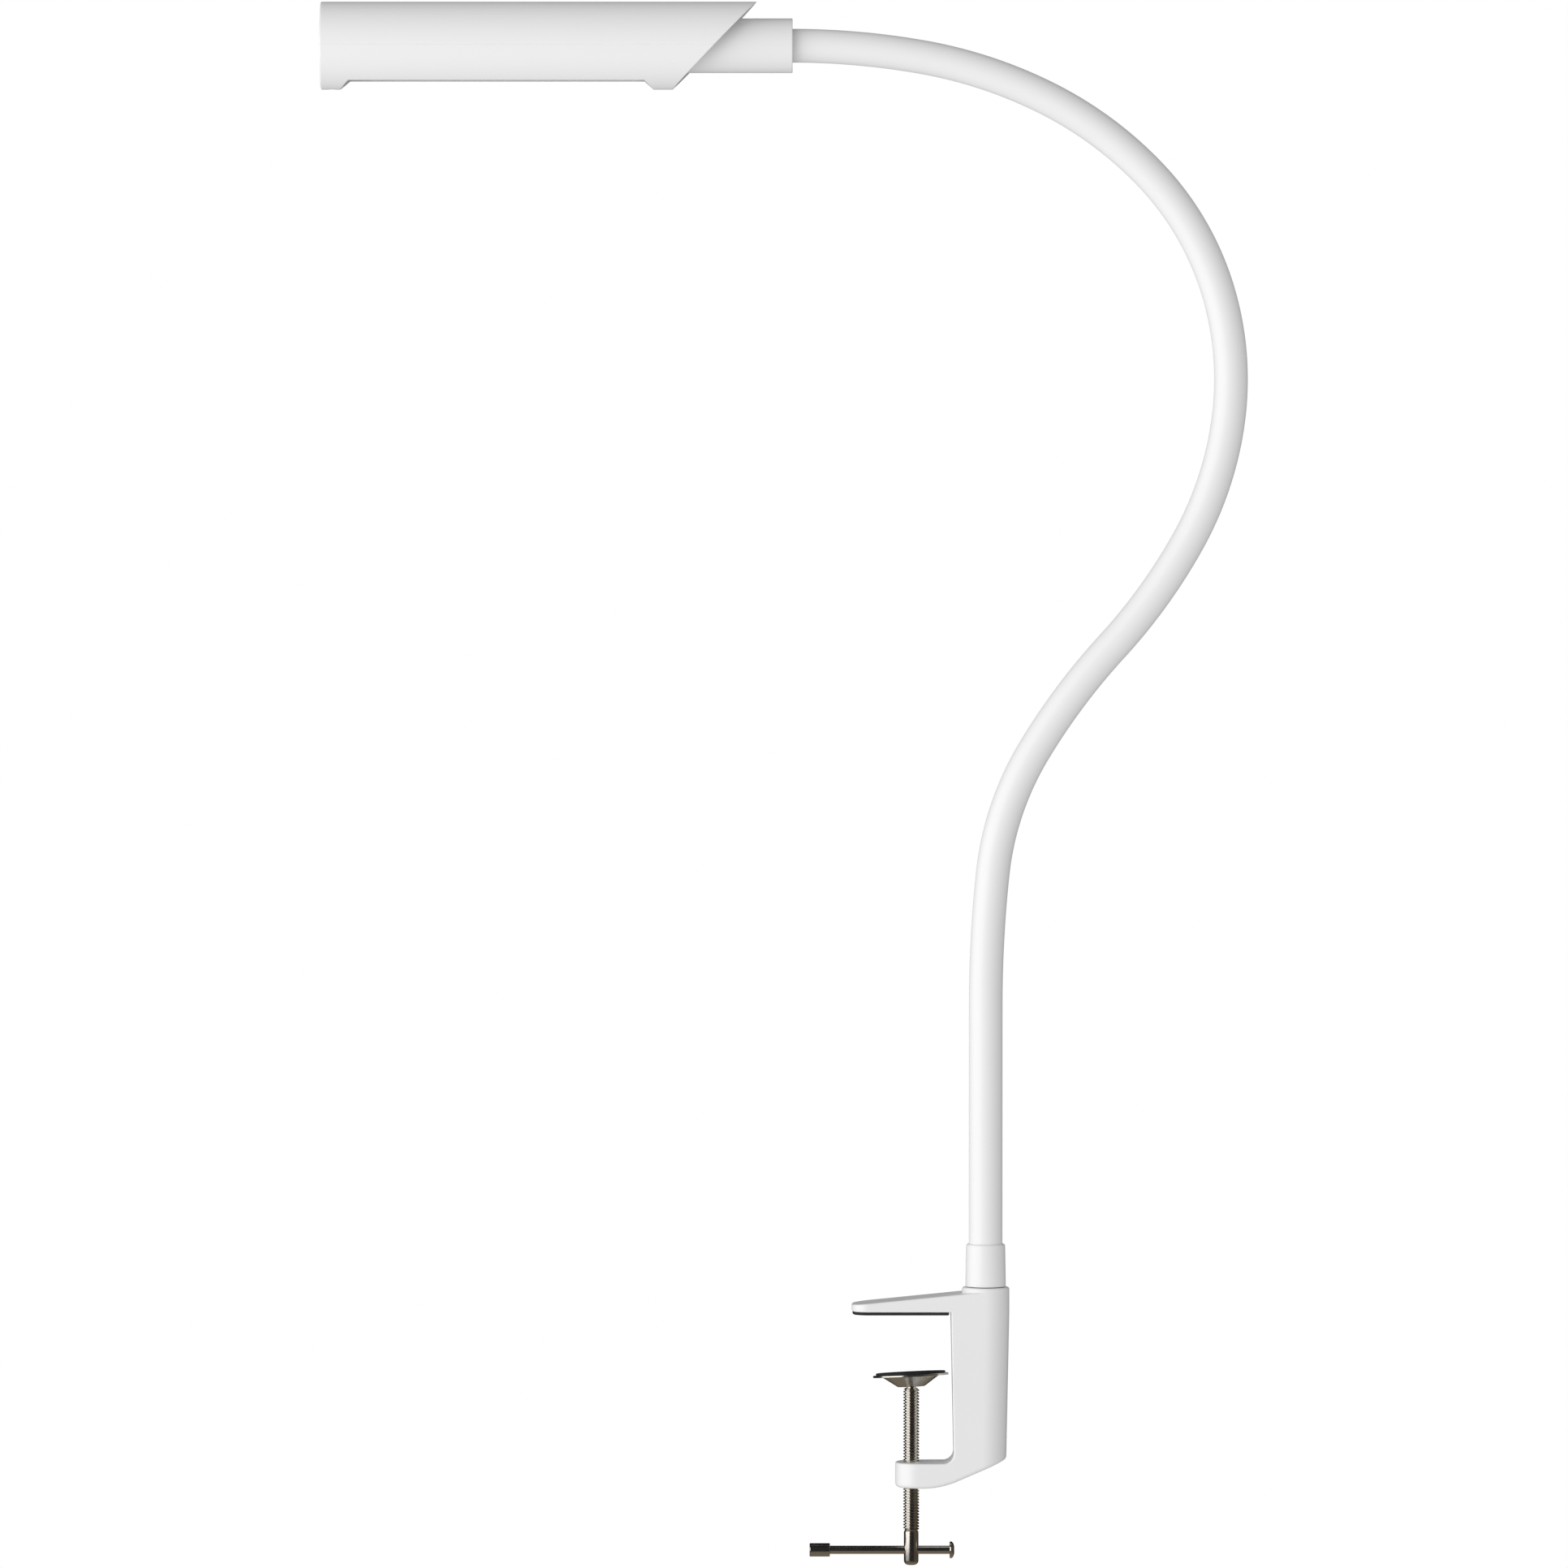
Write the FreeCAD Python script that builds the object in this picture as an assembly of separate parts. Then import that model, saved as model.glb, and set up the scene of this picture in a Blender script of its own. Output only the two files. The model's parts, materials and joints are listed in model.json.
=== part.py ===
import FreeCAD, Part
import math
import os

# Clamp-on gooseneck desk lamp, in millimetres.
# The origin is the middle of the upper jaw pad's lower face, the face that lies on the desk top.
# +Z is up, the head reaches towards -X, and the lamp at rest is symmetric about the plane Y = 0.

V = FreeCAD.Vector
UP = V(0, 0, 1)
ACROSS = V(0, 1, 0)
ALONG = V(1, 0, 0)

# ---------------------------------------------------------------- clearances
RUN_FIT = 0.06            # radial clearance of a shaft that turns or slides in its hole
SEAM = 0.35               # gap between two faces that move past each other
SNUG = 0.1                # radial room of a piece that is pushed in and stays
PAST = 1.0                # how far a cutter runs past the face it opens
TOUCH = 0.01              # tolerance when an edge or face is picked by where it lies

# ---------------------------------------------------------------- clamp frame
CLAMP_WIDTH = 24.0        # across, in Y
JAW_NOSE_X = -24.8
JAW_NOSE_R = 8.5
JAW_TIP_T = 3.6
JAW_SLOPE = 5.7           # degrees, the top of the jaw rises towards the boss
PAD_T = 1.5
PAD_INSET = 0.4
PAD_END_GAP = 1.0
COLUMN_FRONT_X = 25.4
COLUMN_DEPTH = 29.6       # front to back at the top of the column
COLUMN_DRAFT = 1.15       # degrees, front and back faces lean together going down
THROAT = 75.2             # desk top plane to the lower arm
ARM_NOSE_X = -2.7
ARM_NOSE_R = 11.0
ARM_T = 12.7
ARM_INNER_R = 5.5
ARM_BELLY_R = 45.0
ARM_BELLY_START = 13.7    # flat length under the nose
ARM_RISE = 23.5           # degrees, slope of the underside behind the belly
BOSS_TOP = 13.55
BOSS_EDGE_R = 1.0
OUTLINE_MARGIN = 5.0      # how far the blank outlines stand out beyond the finished frame
RIM_R = 0.8               # softened rims of both jaws and the column
ARM_RIM_R = 2.2           # rounder rims under the lower arm
RIM_ANGLE = 20.0          # degrees, faces that meet more sharply than this get a softened rim

# ---------------------------------------------------------------- neck pivot in the clamp
PIN_D = 12.0
PIN_BELOW = 26.0          # pin length below the desk top plane
PIN_GROOVE_DEPTH = 1.2
PIN_GROOVE_W = 3.4
PIN_GROOVE_Z = -21.0
PIN_CHAMFER = 0.6
NECK_FOOT_GAP = 0.45      # foot of the neck above the boss
WELL_ROOM = 0.5           # radial room round the pin below its bush
WELL_BELOW_INLET = 1.0
BUSH_WALL = 1.5
BUSH_BOTTOM_Z = -17.5
SET_SCREW_D = 5.0
SET_SCREW_DOG_D = 2.4
SET_SCREW_SOCKET = 2.5    # hexagon across flats
SET_SCREW_SOCKET_DEPTH = 2.5
SET_SCREW_SUNK = 1.0      # outer end below the surface of the boss
INLET_BORE_D = 9.0
INLET_FLANGE_D = 13.0
INLET_FLANGE_T = 1.6
INLET_Z = -31.5
INLET_FROM_PIN = 1.2      # grommet's inner end from the pin
CUP_WALL = 1.8
CUP_FLOOR_T = 3.2
CUP_DEPTH = 9.0

# ---------------------------------------------------------------- neck
SLEEVE_D = 17.0
SLEEVE_WALL = 1.9
LEAD_D = 6.4
ROOT_RUN = 143.0          # straight root, from the foot of the neck to the first hinge
LINK = 66.0               # length of each link after the root, along its centreline
LINK_BENDS = (6.0, 25.0, 11.5, -13.5, -22.0, -24.5, -26.0, -20.0, -16.5, -10.0)
BALL_GAP = 0.45           # between a link's ball end and the next link's socket
FERRULE_FOOT_WALL = 1.65
FERRULE_TOP_WALL = 1.25
FERRULE_LIP = 0.15        # thickness left at the ferrule's upper edge
FERRULE_CHAMFER = 0.4
FERRULE_H = 21.6
FERRULE_SHOULDER = 3.4

# ---------------------------------------------------------------- clamping screw
SCREW_X = 5.4
THREAD_D = 8.0
THREAD_PITCH = 1.5
THREAD_DEPTH = 0.75
THREAD_GROOVE_END = 0.35  # shares of the pitch: root flat, upper flank, crest flat, lower flank
THREAD_CREST_START = 0.5
THREAD_CREST_END = 0.85
THREAD_UNDER_DISC = 0.9   # first thread below the dish's floor
THREAD_RUN_IN = 0.2
THREAD_BELOW_ARM = 22.5   # thread left below the arm at rest
TAIL_D = 7.4
TAIL_LEN = 17.2
TAIL_TIP_R = 2.2
TAIL_STEP = 0.4           # slope from the last thread out to the plain tail
BAR_D = 4.2
BAR_ABOVE_TIP = 7.6
BAR_LEFT = 51.5           # end of the bar, from the screw's axis
BAR_RIGHT = 19.5          # underside of the riveted head, from the screw's axis
BAR_HEAD_D = 8.7
BAR_HEAD_T = 2.3
BAR_HEAD_DOME = ((0.9, 0.0), (1.0, 0.3), (0.92, 0.62), (0.6, 0.92), (0.0, 1.0))   # shares of radius, height
BAR_CAP_D = 6.8
BAR_CAP_LEN = 10.3
BAR_CAP_FLOOR = 1.5
BAR_CAP_CHAMFER = 0.35

# ---------------------------------------------------------------- pressure disc
REST_OPENING = 29.6       # jaw pad to disc pad at rest
DISC_D = 38.2
DISC_T = 1.0
DISC_RIM_W = 5.0
DISC_DISH = 6.3           # rim top to the dish's underside
DISC_FLOOR_R = 6.4
DISC_PAD_MARGIN = 1.5     # steel rim left round the rubber pad
DISC_PAD_T = 1.2
DISC_LEAN = 5.0           # degrees, the loose disc hangs over on its stop
DISC_LEAN_SIDE = 124.0    # degrees from +X towards +Y, the side that hangs low
DISC_HOLE_D = 5.4
NECKED_D = 4.6            # thinned top of the screw, passed through the disc and riveted over
WASHER_LIFT = 1.2         # room above the dish's floor, so that the disc can tip
SWIVEL_WASHER_D = 9.2
SWIVEL_WASHER_T = 1.0
RIVET_D = 7.2
RIVET_T = 1.0
RIVET_CHAMFER = 0.6

# ---------------------------------------------------------------- head
HUB_D = 27.5
HUB_WALL = 1.5
HUB_LEN = 68.0
SOCKET_LEN = 22.0
SOCKET_RECESS = 0.8
SLEEVE_IN = 14.0          # neck sleeve inside the socket
CORE_IN = 19.0            # neck core inside the socket
PLUG_T = 8.0
SPINDLE_D = 10.0
SPINDLE_LEN = 18.0
PEG_D = 3.0
PEG_MARGIN = 0.75         # between the peg and the hub's bore
PEG_SLOT_ROOM = 0.5       # slot wider than the peg on each side
PEG_STOP_ROOM = 0.4       # slot longer than the peg's travel at each end
PEG_THROUGH = 0.6         # peg beyond the bulkhead
TURN_RANGE = 135.0        # degrees each way
NUT_FLATS = 14.0
NUT_T = 4.0
NUT_CORNER = 2.2          # the chamfering cone starts wider than half the flats by this much
NUT_FACE = 0.2            # and ends narrower by this much
WASHER_T = 0.8
WASHER_D = 15.0
SHADE_D = 44.3
SHADE_WALL = 1.6
SHADE_TOP_REAR = 18.1     # hub end to the upper rear tip
SHADE_LEN = 219.7         # upper rear tip to the front face
SHADE_CUT = 42.6          # the rear opening slopes back by this much from bottom to top
SHADE_EDGE_R = 0.8
SPLIT_CHAMFER = 0.25      # on the outside of both shells, along the line where they meet
WINDOW_DROP = 17.6        # window plane below the axis
WINDOW_REAR = 74.7        # hub end to the window
WINDOW_LEN = 148.8
WINDOW_RAMP = 4.7
BULKHEAD_T = 2.4
BULKHEAD_COLLAR_D = 14.0
BULKHEAD_COLLAR_LEN = 9.0
CARRIER_W = 32.0
CARRIER_T = 2.5
CARRIER_BASE_Z = -1.5
CARRIER_FLANGE_H = 10.0
CARRIER_FIN_H = 7.0
CARRIER_FIN_T = 1.6
CARRIER_START = 90.0
CARRIER_LEN = 132.0
BOARD_W = 22.0
BOARD_T = 1.6
BOARD_MARGIN = 2.0
LED_SIZE = (3.5, 2.8, 0.8)
LED_PER_ROW = 12
LED_ROW_Y = 6.0
DIFFUSER_T = 2.0
DIFFUSER_Z = -14.4        # underside
DIFFUSER_SIDE_GAP = 0.4
DIFFUSER_BEHIND = 1.5     # beyond the window's rear end
DIFFUSER_AHEAD = 1.0      # beyond its front end
LEDGE_T = 1.6
LEDGE_W = 2.6
WIRE_D = 1.4
WIRE_SPREAD = 1.7
WIRE_STRAIGHT = 1.0       # straight out of the spindle
WIRE_SLOPE = 2.2          # length in which the wires drop to the board
M3_D = 2.8
M3_HEAD_D = 5.6
M3_HEAD_T = 2.0
M3_LEN = 9.0
M3_BOSS_D = 6.4
M3_SLOT_HALF = 1.6        # cross recess: half length
M3_SLOT_W = 0.6
M3_SLOT_DEPTH = 0.55      # share of the head's height
HEAD_IN_SHELL = 0.15      # radial room round the sunk screw head
HEAD_IN_BOARD = 0.3       # radial room where the board clears a screw head
FRONT_SCREW_FROM_FACE = 5.0
FRONT_SEAT_Z = -4.0

# ---------------------------------------------------------------- worked out from the sizes above
HALF_W = CLAMP_WIDTH / 2
NECK_X = COLUMN_FRONT_X + COLUMN_DEPTH - HALF_W
ARM_TOP = -THROAT
ARM_BOTTOM = ARM_TOP - ARM_T
SLEEVE_R = SLEEVE_D / 2
CORE_D = SLEEVE_D - 2 * SLEEVE_WALL - 2 * SNUG
NECK_FOOT = BOSS_TOP + NECK_FOOT_GAP
PAD_TOP = -REST_OPENING
DISC_PAD_D = DISC_D - 2 * DISC_PAD_MARGIN
DISC_RIM_TOP = PAD_TOP - DISC_PAD_T
DISC_FLOOR = DISC_RIM_TOP - DISC_DISH
PIVOT_Z = DISC_FLOOR + DISC_T / 2
WASHER_Z = DISC_FLOOR + DISC_T + WASHER_LIFT
RIVET_Z = WASHER_Z + SWIVEL_WASHER_T + SEAM
THREAD_TOP = DISC_FLOOR - THREAD_UNDER_DISC
THREAD_END = ARM_BOTTOM - THREAD_BELOW_ARM
SCREW_TIP = THREAD_END - TAIL_LEN
BAR_Z = SCREW_TIP + BAR_ABOVE_TIP
PEG_RADIUS = HUB_D / 2 - HUB_WALL - PEG_D / 2 - PEG_MARGIN
SHADE_R = SHADE_D / 2
SHADE_FRONT = SHADE_TOP_REAR + SHADE_LEN
SHADE_BOTTOM_REAR = SHADE_TOP_REAR + SHADE_CUT

pieces = {}


def keep(name, shape):
    """Remember a finished sub-part under its node name."""
    pieces[name] = shape


# ---------------------------------------------------------------- small shape helpers
def block(x0, x1, y0, y1, z0, z1):
    return Part.makeBox(x1 - x0, y1 - y0, z1 - z0, V(x0, y0, z0))


def rod(radius, start, direction, length):
    return Part.makeCylinder(radius, length, start, direction)


def pipe(outer, inner, start, direction, length):
    return rod(outer, start, direction, length).cut(rod(inner, start, direction, length))


def polygon(points):
    return Part.makePolygon(list(points) + [points[0]])


def turned(profile, base, axis, side):
    """Spin (radius, height) points about the axis through base; side is the direction radii run in."""
    points = [base + side * r + axis * h for r, h in profile]
    return Part.Face(polygon(points)).revolve(base, axis, 360)


def plate(points, y0, y1):
    """Push an outline given as (x, z) points from y0 to y1."""
    return Part.Face(polygon([V(x, y0, z) for x, z in points])).extrude(V(0, y1 - y0, 0))


def hexagon(flats, centre, direction, length):
    """Six-sided prism along the direction, which lies in the plane of X and Y."""
    radius = flats / math.sqrt(3)
    side = direction.cross(UP)
    turns = [math.radians(60 * k + 30) for k in range(6)]
    corners = [centre + side * (radius * math.cos(a)) + UP * (radius * math.sin(a)) for a in turns]
    return Part.Face(polygon(corners)).extrude(direction * length)


def edges_near(shape, test):
    return [edge for edge in shape.Edges if test(edge)]


# ---------------------------------------------------------------- clamp frame
def plan_wire(z, nose_x, nose_r, back_centre, half_width):
    """Outline seen from above: rounded nose, straight sides, half-round back."""
    near = nose_x + nose_r
    flat = half_width - nose_r
    turn = nose_r * math.sqrt(0.5)
    edges = []
    if flat > TOUCH:
        edges.append(Part.makeLine(V(nose_x, flat, z), V(nose_x, -flat, z)))
    mid = V(near - turn, -flat - turn, z)
    edges.append(Part.Arc(V(nose_x, -flat, z), mid, V(near, -half_width, z)).toShape())
    edges.append(Part.makeLine(V(near, -half_width, z), V(back_centre, -half_width, z)))
    back = V(back_centre + half_width, 0, z)
    edges.append(Part.Arc(V(back_centre, -half_width, z), back, V(back_centre, half_width, z)).toShape())
    edges.append(Part.makeLine(V(back_centre, half_width, z), V(near, half_width, z)))
    mid = V(near - turn, flat + turn, z)
    edges.append(Part.Arc(V(near, half_width, z), mid, V(nose_x, flat, z)).toShape())
    return Part.Wire(edges)


def leaning_prism(z_low, z_high, nose_x, nose_r):
    """The outline seen from above, carried down with the back of the column leaning in below z = 0."""
    lean = math.tan(math.radians(COLUMN_DRAFT))
    turn = min(0, z_high)
    wires = [plan_wire(z, nose_x, nose_r, NECK_X + lean * z, HALF_W) for z in (z_low, turn)]
    prism = Part.makeLoft(wires, True, True)
    if z_high > turn:
        prism = prism.fuse(Part.Face(wires[1]).extrude(V(0, 0, z_high - turn)))
    return prism


def front_face_x(z):
    """The column's front face leans back as it goes down."""
    return COLUMN_FRONT_X - math.tan(math.radians(COLUMN_DRAFT)) * z


def side_outline():
    """The C shape seen from the side, as one closed wire of lines and arcs in the plane y = -width/2."""
    y = -HALF_W - PAST
    far = NECK_X + HALF_W + OUTLINE_MARGIN
    slope = math.tan(math.radians(JAW_SLOPE))
    jaw_top = PAD_T + JAW_TIP_T
    rise = math.radians(ARM_RISE)
    belly_x = ARM_NOSE_X + ARM_BELLY_START
    belly_end = V(belly_x + ARM_BELLY_R * math.sin(rise), y, ARM_BOTTOM + ARM_BELLY_R * (1 - math.cos(rise)))
    belly_mid = V(belly_x + ARM_BELLY_R * math.sin(rise / 2), y,
                  ARM_BOTTOM + ARM_BELLY_R * (1 - math.cos(rise / 2)))
    back_low = V(far, y, belly_end.z + (far - belly_end.x) * math.tan(rise))
    inner_x = front_face_x(ARM_TOP)
    inner_turn = ARM_INNER_R * (1 - math.sqrt(0.5))
    nose_low = V(ARM_NOSE_X, y, ARM_BOTTOM)
    arm_root = V(inner_x - ARM_INNER_R, y, ARM_TOP)
    column_root = V(front_face_x(ARM_TOP + ARM_INNER_R), y, ARM_TOP + ARM_INNER_R)
    jaw_root = V(front_face_x(PAD_T), y, PAD_T)
    edges = [
        Part.makeLine(V(JAW_NOSE_X, y, PAD_T), V(JAW_NOSE_X, y, jaw_top)),
        Part.makeLine(V(JAW_NOSE_X, y, jaw_top), V(NECK_X, y, jaw_top + slope * (NECK_X - JAW_NOSE_X))),
        Part.makeLine(V(NECK_X, y, jaw_top + slope * (NECK_X - JAW_NOSE_X)), V(far, y, jaw_top)),
        Part.makeLine(V(far, y, jaw_top), back_low),
        Part.makeLine(back_low, belly_end),
        Part.Arc(belly_end, belly_mid, V(belly_x, y, ARM_BOTTOM)).toShape(),
        Part.makeLine(V(belly_x, y, ARM_BOTTOM), nose_low),
        Part.makeLine(nose_low, V(ARM_NOSE_X, y, ARM_TOP)),
        Part.makeLine(V(ARM_NOSE_X, y, ARM_TOP), arm_root),
        Part.Arc(arm_root, V(inner_x - inner_turn, y, ARM_TOP + inner_turn), column_root).toShape(),
        Part.makeLine(column_root, jaw_root),
        Part.makeLine(jaw_root, V(JAW_NOSE_X, y, PAD_T)),
    ]
    return Part.Wire(edges)


def sharp_rims(shape):
    """Edges where two faces meet at a corner, apart from straight ones across the width and the boss's."""
    found = []
    for edge in shape.Edges:
        box = edge.BoundBox
        across = abs(edge.Length - CLAMP_WIDTH) < TOUCH
        under_boss = box.XMin > NECK_X - PAST and box.ZMin > PAD_T
        if across or under_boss:
            continue
        point = edge.valueAt((edge.FirstParameter + edge.LastParameter) / 2)
        faces = shape.ancestorsOfType(edge, Part.Face)
        normals = [face.normalAt(*face.Surface.parameter(point)) for face in faces]
        if len(normals) == 2 and math.degrees(normals[0].getAngle(normals[1])) > RIM_ANGLE:
            found.append(edge)
    return found


def make_clamp_body():
    """Painted C frame: both jaws, the leaning column, the boss, and the bores for pin, screw and lead."""
    c_shape = Part.Face(side_outline()).extrude(V(0, CLAMP_WIDTH + 2 * PAST, 0))
    middle = ARM_TOP / 2
    over = BOSS_TOP + OUTLINE_MARGIN
    upper = c_shape.common(leaning_prism(middle, over, JAW_NOSE_X, JAW_NOSE_R))
    lower = c_shape.common(leaning_prism(ARM_BOTTOM - OUTLINE_MARGIN, middle, ARM_NOSE_X, ARM_NOSE_R))
    frame = upper.fuse(lower).removeSplitter()
    under_arm = [edge for edge in sharp_rims(frame) if edge.BoundBox.ZMax < ARM_TOP - RIM_R]
    frame = frame.makeFillet(ARM_RIM_R, under_arm)
    frame = frame.makeFillet(RIM_R, sharp_rims(frame))
    boss = rod(HALF_W, V(NECK_X, 0, PAD_T), UP, BOSS_TOP - PAD_T)
    boss = boss.makeFillet(BOSS_EDGE_R, edges_near(boss, lambda e: e.BoundBox.ZMin > BOSS_TOP - TOUCH))
    frame = frame.fuse(boss).removeSplitter()
    bush_r = PIN_D / 2 + RUN_FIT + BUSH_WALL
    frame = frame.cut(rod(bush_r, V(NECK_X, 0, BUSH_BOTTOM_Z), UP, BOSS_TOP - BUSH_BOTTOM_Z + PAST))
    well_bottom = INLET_Z - INLET_BORE_D / 2 - WELL_BELOW_INLET
    well_r = PIN_D / 2 + WELL_ROOM
    frame = frame.cut(rod(well_r, V(NECK_X, 0, well_bottom), UP, BUSH_BOTTOM_Z - well_bottom + PAST))
    frame = frame.cut(rod(SET_SCREW_D / 2, V(NECK_X, 0, PIN_GROOVE_Z), ACROSS, HALF_W + PAST))
    frame = frame.cut(rod(INLET_BORE_D / 2, V(NECK_X, 0, INLET_Z), ACROSS, HALF_W + PAST))
    return frame.cut(rod(THREAD_D / 2 + RUN_FIT, V(SCREW_X, 0, ARM_BOTTOM - PAST), UP, ARM_T + 2 * PAST))


def make_jaw_pad():
    """Rubber sheet under the upper jaw, with its lower edge eased."""
    half = HALF_W - PAD_INSET
    corner = JAW_NOSE_R - PAD_INSET
    nose = JAW_NOSE_X + PAD_INSET
    tail = COLUMN_FRONT_X - PAD_END_GAP
    outline = plan_wire(0, nose, corner, tail, half)
    sheet = Part.Face(outline).extrude(V(0, 0, PAD_T))
    sheet = sheet.common(block(nose - PAST, tail, -half - PAST, half + PAST, 0, PAD_T))
    low = edges_near(sheet, lambda e: e.BoundBox.ZMax < TOUCH)
    return sheet.makeChamfer(PAD_T / 3, low)


def make_swivel_bush():
    """Plain bearing pressed into the boss; the neck pin turns in it."""
    bore = PIN_D / 2 + RUN_FIT
    return pipe(bore + BUSH_WALL, bore, V(NECK_X, 0, BUSH_BOTTOM_Z), UP, BOSS_TOP - BUSH_BOTTOM_Z)


def make_pivot_set_screw():
    """Grub screw whose dog point runs in the pin's groove and keeps the neck from lifting out."""
    groove_r = PIN_D / 2 - PIN_GROOVE_DEPTH
    tip = groove_r + SEAM
    shoulder = PIN_D / 2 + WELL_ROOM
    end = HALF_W - SET_SCREW_SUNK
    screw = rod(SET_SCREW_DOG_D / 2, V(NECK_X, tip, PIN_GROOVE_Z), ACROSS, shoulder - tip)
    screw = screw.fuse(rod(SET_SCREW_D / 2, V(NECK_X, shoulder, PIN_GROOVE_Z), ACROSS, end - shoulder))
    mouth = V(NECK_X, end, PIN_GROOVE_Z)
    return screw.cut(hexagon(SET_SCREW_SOCKET, mouth, -ACROSS, SET_SCREW_SOCKET_DEPTH))


def make_cord_inlet():
    """Rubber grommet in the far side of the column, where the mains lead comes in."""
    start = V(NECK_X, PIN_D / 2 + INLET_FROM_PIN, INLET_Z)
    length = HALF_W - start.y
    outer = rod(INLET_BORE_D / 2, start, ACROSS, length)
    flange = rod(INLET_FLANGE_D / 2, V(NECK_X, HALF_W, INLET_Z), ACROSS, INLET_FLANGE_T)
    rim = edges_near(flange, lambda e: e.BoundBox.YMin > HALF_W + INLET_FLANGE_T - TOUCH)
    flange = flange.makeFillet(INLET_FLANGE_T / 2, rim)
    return outer.fuse(flange).cut(rod(LEAD_D / 2 + SNUG, start, ACROSS, length + INLET_FLANGE_T + PAST))


# ---------------------------------------------------------------- pressure disc, washer and screw
def make_disc_parts():
    """Dished steel disc and its rubber pad, both leaning about the riveted joint in the dish's floor."""
    centre = V(SCREW_X, 0, 0)
    top = DISC_RIM_TOP
    outer = DISC_D / 2
    mouth = outer - DISC_RIM_W
    run = (mouth - DISC_FLOOR_R) / (DISC_DISH - DISC_T)
    wall = DISC_T * math.sqrt(1 + run ** 2)
    hole = DISC_HOLE_D / 2
    dish = [(outer, top - DISC_T), (outer, top), (mouth, top), (DISC_FLOOR_R, DISC_FLOOR + DISC_T)]
    shift = wall - DISC_T * run
    dish += [(hole, DISC_FLOOR + DISC_T), (hole, DISC_FLOOR), (DISC_FLOOR_R + shift, DISC_FLOOR)]
    dish.append((mouth + shift, top - DISC_T))
    disc = turned(dish, centre, UP, ALONG)
    pad = rod(DISC_PAD_D / 2, V(SCREW_X, 0, top), UP, DISC_PAD_T)
    pad = pad.makeChamfer(DISC_PAD_T / 3, edges_near(pad, lambda e: e.BoundBox.ZMin > PAD_TOP - TOUCH))
    low_side = math.radians(DISC_LEAN_SIDE)
    hinge = V(-math.sin(low_side), math.cos(low_side), 0)
    for name, shape in (("pressure_disc", disc), ("disc_pad", pad)):
        shape.rotate(V(SCREW_X, 0, PIVOT_Z), hinge, DISC_LEAN)
        keep(name, shape)


def make_swivel_washer():
    """Washer under the screw's riveted head; it stays still while the screw turns in it."""
    return pipe(SWIVEL_WASHER_D / 2, NECKED_D / 2 + RUN_FIT, V(SCREW_X, 0, WASHER_Z), UP, SWIVEL_WASHER_T)


def thread_profile(top, end):
    """Half profile of the thread: flat crest, sloped flank, flat root, sloped flank, once a pitch."""
    crest = THREAD_D / 2
    root = crest - THREAD_DEPTH
    count = int((top - end) / THREAD_PITCH)
    points = []
    turn = ((root, 0), (root, THREAD_GROOVE_END), (crest, THREAD_CREST_START), (crest, THREAD_CREST_END))
    for k in range(count):
        points += [(radius, top - (k + share) * THREAD_PITCH) for radius, share in turn]
    points.append((root, top - count * THREAD_PITCH))
    return points


def make_clamp_screw():
    """Screw: riveted head, thinned neck through the disc, thread, and a plain tail bored for the bar."""
    neck = NECKED_D / 2
    shoulder = THREAD_TOP + THREAD_RUN_IN
    top = RIVET_Z + RIVET_T
    tail = TAIL_D / 2
    root = THREAD_D / 2 - THREAD_DEPTH
    profile = [(0, top), (RIVET_D / 2 - RIVET_CHAMFER, top), (RIVET_D / 2, top - RIVET_CHAMFER)]
    profile += [(RIVET_D / 2, RIVET_Z), (neck, RIVET_Z), (neck, shoulder), (root, shoulder)]
    profile += thread_profile(THREAD_TOP, THREAD_END)
    profile += [(tail, THREAD_END - TAIL_STEP), (tail, SCREW_TIP + TAIL_TIP_R)]
    for k in range(1, 6):
        turn = math.radians(15 * k)
        inward = TAIL_TIP_R * (1 - math.cos(turn))
        profile.append((tail - inward, SCREW_TIP + TAIL_TIP_R * (1 - math.sin(turn))))
    profile += [(tail - TAIL_TIP_R, SCREW_TIP), (0, SCREW_TIP)]
    screw = turned(profile, V(SCREW_X, 0, 0), UP, ALONG)
    return screw.cut(rod(BAR_D / 2 + RUN_FIT, V(SCREW_X - THREAD_D, 0, BAR_Z), ALONG, 2 * THREAD_D))


def make_tommy_bar():
    """Sliding bar with a domed rivet head on its right end."""
    cap_start = SCREW_X - BAR_LEFT + BAR_CAP_FLOOR
    head_x = SCREW_X + BAR_RIGHT
    bar = rod(BAR_D / 2, V(cap_start, 0, BAR_Z), ALONG, head_x - cap_start)
    dome = [(0, 0)] + [(BAR_HEAD_D / 2 * across, BAR_HEAD_T * up) for across, up in BAR_HEAD_DOME]
    return bar.fuse(turned(dome, V(head_x, 0, BAR_Z), ALONG, UP))


def make_tommy_bar_cap():
    """Turned sleeve pressed on the bar's left end."""
    left = SCREW_X - BAR_LEFT
    cap = rod(BAR_CAP_D / 2, V(left, 0, BAR_Z), ALONG, BAR_CAP_LEN)
    rims = edges_near(cap, lambda e: e.Curve.TypeId == "Part::GeomCircle")
    cap = cap.makeChamfer(BAR_CAP_CHAMFER, rims)
    return cap.cut(rod(BAR_D / 2, V(left + BAR_CAP_FLOOR, 0, BAR_Z), ALONG, BAR_CAP_LEN))


# ---------------------------------------------------------------- neck
def tangent(heading):
    """Direction of the neck where it leans by heading degrees from upright towards +X."""
    a = math.radians(heading)
    return V(math.sin(a), 0, math.cos(a))


def sideways(heading):
    """Direction at right angles to the neck, in the plane Y = 0, on its +X side when upright."""
    a = math.radians(heading)
    return V(math.cos(a), 0, -math.sin(a))


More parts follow.
